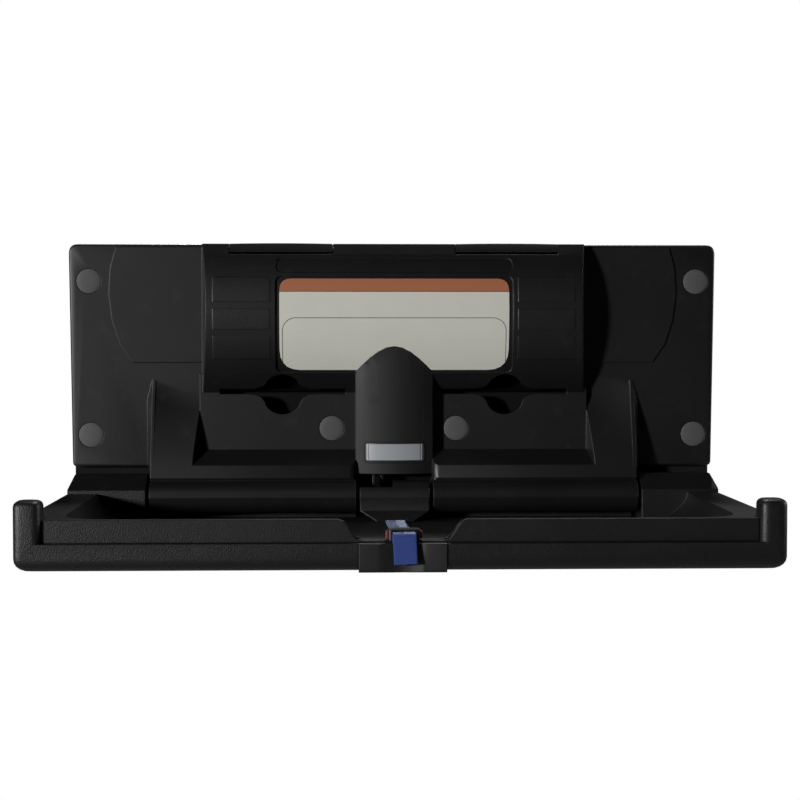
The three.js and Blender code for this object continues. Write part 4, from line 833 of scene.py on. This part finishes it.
@dataclass(frozen=True)
class DotPads:
    """Low pads on the bulge, each with an even field of plain dots.

    Attributes:
        inner: the pads' edge nearest the middle.
        outer: their edge furthest from it.
        bands: lower and upper edge of each pad.
        bulge_reach: how far the bulge stands out from the wall.
        bulge_z: height of the bulge's foremost line.
        upper_radius: radius of the bulge above that line.
        lower_radius: radius of the bulge below it.
        rise: height of a pad over the bulge.
        sink: how far a pad's edge lies inside the bulge.
        rim: width of a pad's sloping edge.
        pitch: spacing of the dots.
        dot_rise: height of a dot.
        dot_floor: how much of each wave is cut off below a dot.
        dot_power: how steep a dot's sides are.
        margin: width of the strip along a pad's edge that has no dots.
        margin_ease: width over which the dots then rise to full height.
    """

    GRID_PER_DOT = 10

    inner: float = 166 * MM
    outer: float = 246 * MM
    bands: tuple[tuple[float, float], ...] = ((0.117, 0.153), (0.079, 0.110), (0.039, 0.073))
    bulge_reach: float = 70 * MM
    bulge_z: float = 106 * MM
    upper_radius: float = 150.5 * MM
    lower_radius: float = 190 * MM
    rise: float = 0.25 * MM
    sink: float = 0.6 * MM
    rim: float = 1.5 * MM
    pitch: float = 4.0 * MM
    dot_rise: float = 0.3 * MM
    dot_floor: float = 0.35
    dot_power: float = 0.7
    margin: float = 2.5 * MM
    margin_ease: float = 1.0 * MM

    def build(self, material: bpy.types.Material) -> None:
        """Makes every pad.

        Args:
            material: the bulge's finish.
        """
        for side in Side:
            for number, (low, high) in enumerate(self.bands, start=1):
                name = f"dot_pad_{side.name.lower()}_{number}"
                place_piece(self._pad(name, side, low, high), material, "wall_unit")

    def _pad(self, name: str, side: Side, low: float, high: float) -> bpy.types.Object:
        """Makes one pad.

        Reach over the bulge is c - r + sqrt(r^2 - (z - z0)^2), where c is its reach at z0, with one r above
        z0 and another below. The pad adds a plateau with a rim s^2 (3 - 2 s), and every dot is the upper
        part of cos(2 pi x / p) cos(2 pi z / p), to a power.

        Args:
            name: the piece's name.
            side: which half it is on.
            low: its lower edge.
            high: its upper edge.

        Returns:
            The piece.
        """
        step = self.pitch / self.GRID_PER_DOT
        x = np.linspace(self.inner, self.outer, round((self.outer - self.inner) / step))
        z = np.linspace(low, high, round((high - low) / step))
        across, up = np.meshgrid(x, z, indexing="ij")
        radius = np.where(up > self.bulge_z, self.upper_radius, self.lower_radius)
        reach = self.bulge_reach - radius + np.sqrt(radius**2 - (up - self.bulge_z) ** 2)
        from_edge = np.minimum.reduce([across - x[0], x[-1] - across, up - low, high - up])
        ease = np.clip(from_edge / self.rim, 0, 1)
        plateau = ease * ease * (3 - 2 * ease)
        dotted = np.clip((from_edge - self.margin) / self.margin_ease, 0, 1)
        turns = 2 * np.pi / self.pitch
        wave = np.cos(turns * (across - x[0])) * np.cos(turns * (up - low))
        dots = np.clip((wave - self.dot_floor) / (1 - self.dot_floor), 0, 1) ** self.dot_power
        reach = reach - self.sink + (self.sink + self.rise) * plateau + self.dot_rise * dots * dotted
        points = np.stack([side.value * across, -reach, up], axis=-1)
        if side is Side.LEFT:
            # The mirrored rows are turned round so that the faces still look outwards.
            points = points[::-1]
        return Meshes.grid(name, points, False)


@dataclass(frozen=True)
class WallPanel:
    """The moulded panel on the wall, with its caps, sheets, lids, bins, hinge rod and strut."""

    ABOVE_ALL = 1.0
    CAP_SHARP_OVER = 40.0

    moulding: MouldedPlastic = MouldedPlastic(
        "panel_moulding",
        (0.005, 0.005, 0.005),
        roughness=0.47,
        zones=DullAndShadedZones(
            column_half=53.5 * MM,
            column_top=60 * MM,
            column_gain=0.21,
            # Painted shade: below this height and behind this depth the panel's foot is painted black.
            recess_top=-107 * MM,
            recess_front=-18 * MM,
        ),
    )
    caps: MouldedPlastic = MouldedPlastic(
        "cap_grey", (0.1, 0.1, 0.101), roughness=0.6, wear=0.3, gloss=0.2, polish=0.0,
    )
    bins: MouldedPlastic = MouldedPlastic(
        "bin_black", (0.002, 0.002, 0.002), roughness=0.8, gloss=0.04, polish=0.0,
    )
    plate: MouldedPlastic = MouldedPlastic(
        "plate_black", (0.0045, 0.0045, 0.0045), roughness=0.75, gloss=0.12, polish=0.0,
    )
    nylon: MouldedPlastic = MouldedPlastic("bush_nylon", (0.006, 0.006, 0.006), roughness=0.5)
    lacquer: MouldedPlastic = MouldedPlastic("strut_lacquer", (0.004, 0.004, 0.004), roughness=0.4)
    steel: PlatedSteel = PlatedSteel("plated_steel")
    sheet: BlankSheet = BlankSheet(
        "blank_sheet",
        colour=(0.7, 0.69, 0.615),
        band=(0.41, 0.15, 0.078),
        rule=(0.05, 0.045, 0.04),
        half=155 * MM,
        low=26 * MM,
        high=149.5 * MM,
        band_low=132.5 * MM,
        field_high=97 * MM,
        field_round=18 * MM,
    )
    # The badge has no band, and its field runs off the top, so that only the field's two sides show.
    badge: BlankSheet = BlankSheet(
        "blank_badge",
        colour=(0.38, 0.397, 0.413),
        band=(0.38, 0.397, 0.413),
        rule=(0.05, 0.05, 0.055),
        half=39.2 * MM,
        low=-97.5 * MM,
        high=-73 * MM,
        band_low=ABOVE_ALL,
        field_high=ABOVE_ALL,
        field_round=1.0 * MM,
        border=1.4 * MM,
        roughness=0.3,
    )
    pads: DotPads = DotPads()

    def dress(self, dresser: Dresser) -> None:
        """Dresses the panel's nodes and adds the dot pads.

        Args:
            dresser: the dresser of the frame's nodes.
        """
        moulding = self.moulding.build()
        dresser.dress(["wall_shell", "liner_lid_left", "liner_lid_right"], moulding)
        caps = [f"screw_cap_{number}" for number in range(1, 7)]
        dresser.dress(caps, self.caps.build(), self.CAP_SHARP_OVER)
        dresser.dress(["liner_bin_left", "liner_bin_right"], self.bins.build())
        dresser.dress(["back_plate"], self.plate.build())
        dresser.dress(["label_plate"], self.sheet.build())
        dresser.dress(["badge_plate"], self.badge.build())
        bushes = [f"hinge_bush_{place}_{side}" for place in ("inner", "outer") for side in ("left", "right")]
        dresser.dress([*bushes, "rod_plug_left", "rod_plug_right"], self.nylon.build())
        pins = ["hinge_rod", "lid_pin_left", "lid_pin_right", "strut_bracket", "strut_pin", "gas_rod"]
        dresser.dress(pins, self.steel.build())
        dresser.dress(["gas_cylinder", "rod_clevis", "clevis_pin", "crank_arm"], self.lacquer.build())
        self.pads.build(moulding)


@dataclass(frozen=True)
class FoldingBed:
    """The bed that folds down, and the pull block in its front rail."""

    BED_SHARP_OVER = 30.0

    shell: MouldedPlastic = MouldedPlastic(
        "bed_grained",
        (0.005, 0.005, 0.005),
        roughness=0.46,
        grain=Grain.PEBBLED,
        grain_depth=0.48 * MM,
        edge=2.2 * MM,
    )
    pull: MouldedPlastic = MouldedPlastic(
        "pull_satin", (0.006, 0.0055, 0.005), roughness=0.56, edge=1.8 * MM, gloss=0.6,
    )

    def dress(self, dresser: Dresser) -> None:
        """Dresses the bed's nodes.

        Args:
            dresser: the dresser of the frame's nodes.
        """
        dresser.dress(["door_shell", "bed_pan"], self.shell.build(), self.BED_SHARP_OVER)
        dresser.dress(["pull_block"], self.pull.build(), self.BED_SHARP_OVER)


@dataclass(frozen=True)
class StrapRun:
    """One visible run of webbing.

    Attributes:
        name: the piece's name.
        node: the plain strap that it replaces.
        ease: length over which its bends are eased, in metres.
        corners: its middle line as (x, out, up) about the hinge line, in millimetres.
    """

    name: str
    node: str
    ease: float
    corners: tuple[Point, ...]


@dataclass(frozen=True)
class SafetyStrap:
    """The webbing, and the side-release buckle that joins it.

    The bed's run goes from the slot under the centre knuckle, over the basin, to the buckle's tongue. The
    tail comes out of the buckle's front, goes round the pull block and hangs down. The anchor goes from the
    buckle down into the pull block.
    """

    RUN_POINTS = 90

    width: float = 27 * MM
    thick: float = 1.6 * MM
    hinge_reach: float = 55 * MM
    hinge_z: float = -145 * MM
    webbing: WovenWebbing = WovenWebbing("strap_webbing", (0.013, 0.046, 0.27))
    buckle: MouldedPlastic = MouldedPlastic(
        "buckle_black", (0.005, 0.005, 0.006), roughness=0.4, edge=0.9 * MM,
    )
    prong: MouldedPlastic = MouldedPlastic(
        "prong_red", (0.22, 0.012, 0.018), roughness=0.4, edge=0.8 * MM, wear=0.2,
    )
    runs: tuple[StrapRun, ...] = (
        StrapRun(
            "webbing_bed",
            "bed_strap",
            14 * MM,
            ((0.9, 28.2, -30.9), (0.9, 62, -30.8), (1.2, 150, -26.0), (1.5, 250, -18.0), (1.5, 311, -12.4)),
        ),
        StrapRun(
            "webbing_tail",
            "tail_strap",
            6 * MM,
            ((1.5, 344.8, -10.5), (1.5, 350, -10.5), (1.8, 358.6, -11.6), (2.0, 360.2, -20), (3.0, 364, -45)),
        ),
        StrapRun(
            "webbing_anchor",
            "anchor_strap",
            3 * MM,
            ((1.5, 348.4, -13.2), (1.5, 348.4, -23), (1.5, 348.4, -33.8)),
        ),
    )

    def dress(self, dresser: Dresser) -> None:
        """Dresses the buckle and replaces the plain straps by woven ones.

        Args:
            dresser: the dresser of the frame's nodes.
        """
        dresser.dress(["buckle_body", "buckle_tongue"], self.buckle.build())
        dresser.dress(["release_prong_left", "release_prong_right"], self.prong.build())
        webbing = self.webbing.build()
        for run in self.runs:
            thing = self._woven(run)
            place_piece(thing, webbing, "bed")
            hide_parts(run.node)

    def _woven(self, run: StrapRun) -> bpy.types.Object:
        """Makes one run of webbing.

        Args:
            run: the run.

        Returns:
            The piece.
        """
        places = [
            (x * MM, -(self.hinge_reach + out * MM), self.hinge_z + up * MM)
            for x, out, up in run.corners
        ]
        path = Meshes.smooth_path(places, self.RUN_POINTS, run.ease)
        return Meshes.ribbon(run.name, path, self.width, self.thick)


@dataclass(frozen=True)
class Lamp:
    """A soft square lamp.

    Attributes:
        name: its name.
        place: where it stands.
        aim: the point that it faces.
        size: its width.
        power: its power in watts.
    """

    name: str
    place: Point
    aim: Point
    size: float
    power: float

    def build(self) -> None:
        """Puts the lamp in the scene."""
        data = bpy.data.lights.new(self.name, "AREA")
        data.size = self.size
        data.energy = self.power
        lamp = bpy.data.objects.new(self.name, data)
        bpy.context.scene.collection.objects.link(lamp)
        way = np.array(self.aim, float) - np.array(self.place, float)
        flat = math.hypot(way[0], way[1])
        lamp.location = self.place
        lamp.rotation_euler = (math.pi / 2 + math.atan2(way[2], flat), 0, math.atan2(-way[0], way[1]))


@dataclass(frozen=True)
class Studio:
    """Floor, background, lamps and the camera at the photograph's viewing angle.

    Attributes:
        camera_place: where the camera stands.
        focal_pixels: its focal length, in pixels of the frame.
        frame_pixels: width of the frame.
        vanishing: where the depth lines meet, in pixels from the frame's upper left.
        sensor: width of the sensor, in millimetres.
        floor_z: height of the floor.
        floor_half: half the floor's width.
        floor_grey: the floor's own brightness.
        ambient: strength of the even light.
        lamps: the lamps.
    """

    camera_place: Point = (-0.0648, -2.342, 0.069)
    focal_pixels: float = 1686.4
    frame_pixels: float = 800.0
    vanishing: tuple[float, float] = (346.5, 338.3)
    sensor: float = 36.0
    floor_z: float = -0.95
    floor_half: float = 6.0
    floor_grey: float = 0.15
    ambient: float = 0.002
    lamps: tuple[Lamp, ...] = (
        Lamp("key", (-5.76, -5.7, 0.95), aim=(0.0, -0.1, -0.02), size=0.8, power=570.0),
        Lamp("over", (0.5, 2.1, 3.8), aim=(0.0, -0.2, -0.1), size=0.8, power=66.0),
        Lamp("side", (4.3, 0.5, 1.2), aim=(0.0, -0.1, 0.0), size=1.2, power=65.0),
        Lamp("rear", (0.0, 4.0, 2.4), aim=(0.0, 0.0, 0.0), size=0.8, power=380.0),
    )

    def build(self) -> None:
        """Sets up everything round the object."""
        bpy.context.scene.view_settings.view_transform = "Standard"
        self._world()
        self._floor()
        for lamp in self.lamps:
            lamp.build()
        self._camera()

    def _world(self) -> None:
        """A white background for the camera, and faint even light on the object."""
        world = bpy.data.worlds.new("studio")
        bpy.context.scene.world = world
        world.use_nodes = True
        tree = world.node_tree
        tree.nodes.clear()
        rays = tree.nodes.new("ShaderNodeLightPath")
        seen = tree.nodes.new("ShaderNodeBackground")
        seen.inputs["Color"].default_value = WHITE
        faint = tree.nodes.new("ShaderNodeBackground")
        faint.inputs["Color"].default_value = WHITE
        faint.inputs["Strength"].default_value = self.ambient
        mix = tree.nodes.new("ShaderNodeMixShader")
        output = tree.nodes.new("ShaderNodeOutputWorld")
        tree.links.new(rays.outputs["Is Camera Ray"], mix.inputs[0])
        tree.links.new(faint.outputs[0], mix.inputs[1])
        tree.links.new(seen.outputs[0], mix.inputs[2])
        tree.links.new(mix.outputs[0], output.inputs[0])

    def _floor(self) -> None:
        """A dull floor well below the station, which the camera sees as white."""
        ends = np.array([-self.floor_half, self.floor_half])
        x, y = np.meshgrid(ends, ends, indexing="ij")
        floor = Meshes.grid("floor", np.stack([x, y, np.full_like(x, self.floor_z)], axis=-1), False)
        graph = Graph("pale_floor")
        rays = graph.output(graph.node("ShaderNodeLightPath", {}, {}), "Is Camera Ray")
        grey = (self.floor_grey, self.floor_grey, self.floor_grey, 1.0)
        dull = graph.output(graph.node("ShaderNodeBsdfDiffuse", {}, {"Color": grey}))
        white = graph.output(graph.node("ShaderNodeEmission", {}, {"Color": WHITE, "Strength": 1.0}))
        mix = graph.output(graph.node("ShaderNodeMixShader", {}, {0: rays, 1: dull, 2: white}))
        graph.node("ShaderNodeOutputMaterial", {}, {0: mix})
        floor.data.materials.append(graph.material)

    def _camera(self) -> None:
        """The camera: its turn puts the vanishing point of the depth lines where the photograph has it."""
        data = bpy.data.cameras.new("camera")
        data.sensor_width = self.sensor
        data.lens = self.focal_pixels / self.frame_pixels * self.sensor
        camera = bpy.data.objects.new("camera", data)
        bpy.context.scene.collection.objects.link(camera)
        centre = self.frame_pixels / 2
        yaw = math.atan2(centre - self.vanishing[0], self.focal_pixels)
        pitch = math.atan2(centre - self.vanishing[1], self.focal_pixels)
        camera.location = self.camera_place
        camera.rotation_euler = (math.pi / 2 - pitch, 0, -yaw)
        bpy.context.scene.camera = camera


def main() -> None:
    """Builds the scene."""
    logging.basicConfig(level=logging.INFO, format="%(message)s")
    for start in list(bpy.data.objects):
        bpy.data.objects.remove(start)
    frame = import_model()
    dresser = Dresser(frame["nodes"])
    WallPanel().dress(dresser)
    FoldingBed().dress(dresser)
    SafetyStrap().dress(dresser)
    Studio().build()
    bpy.context.view_layer.update()


if __name__ == "__main__":
    main()
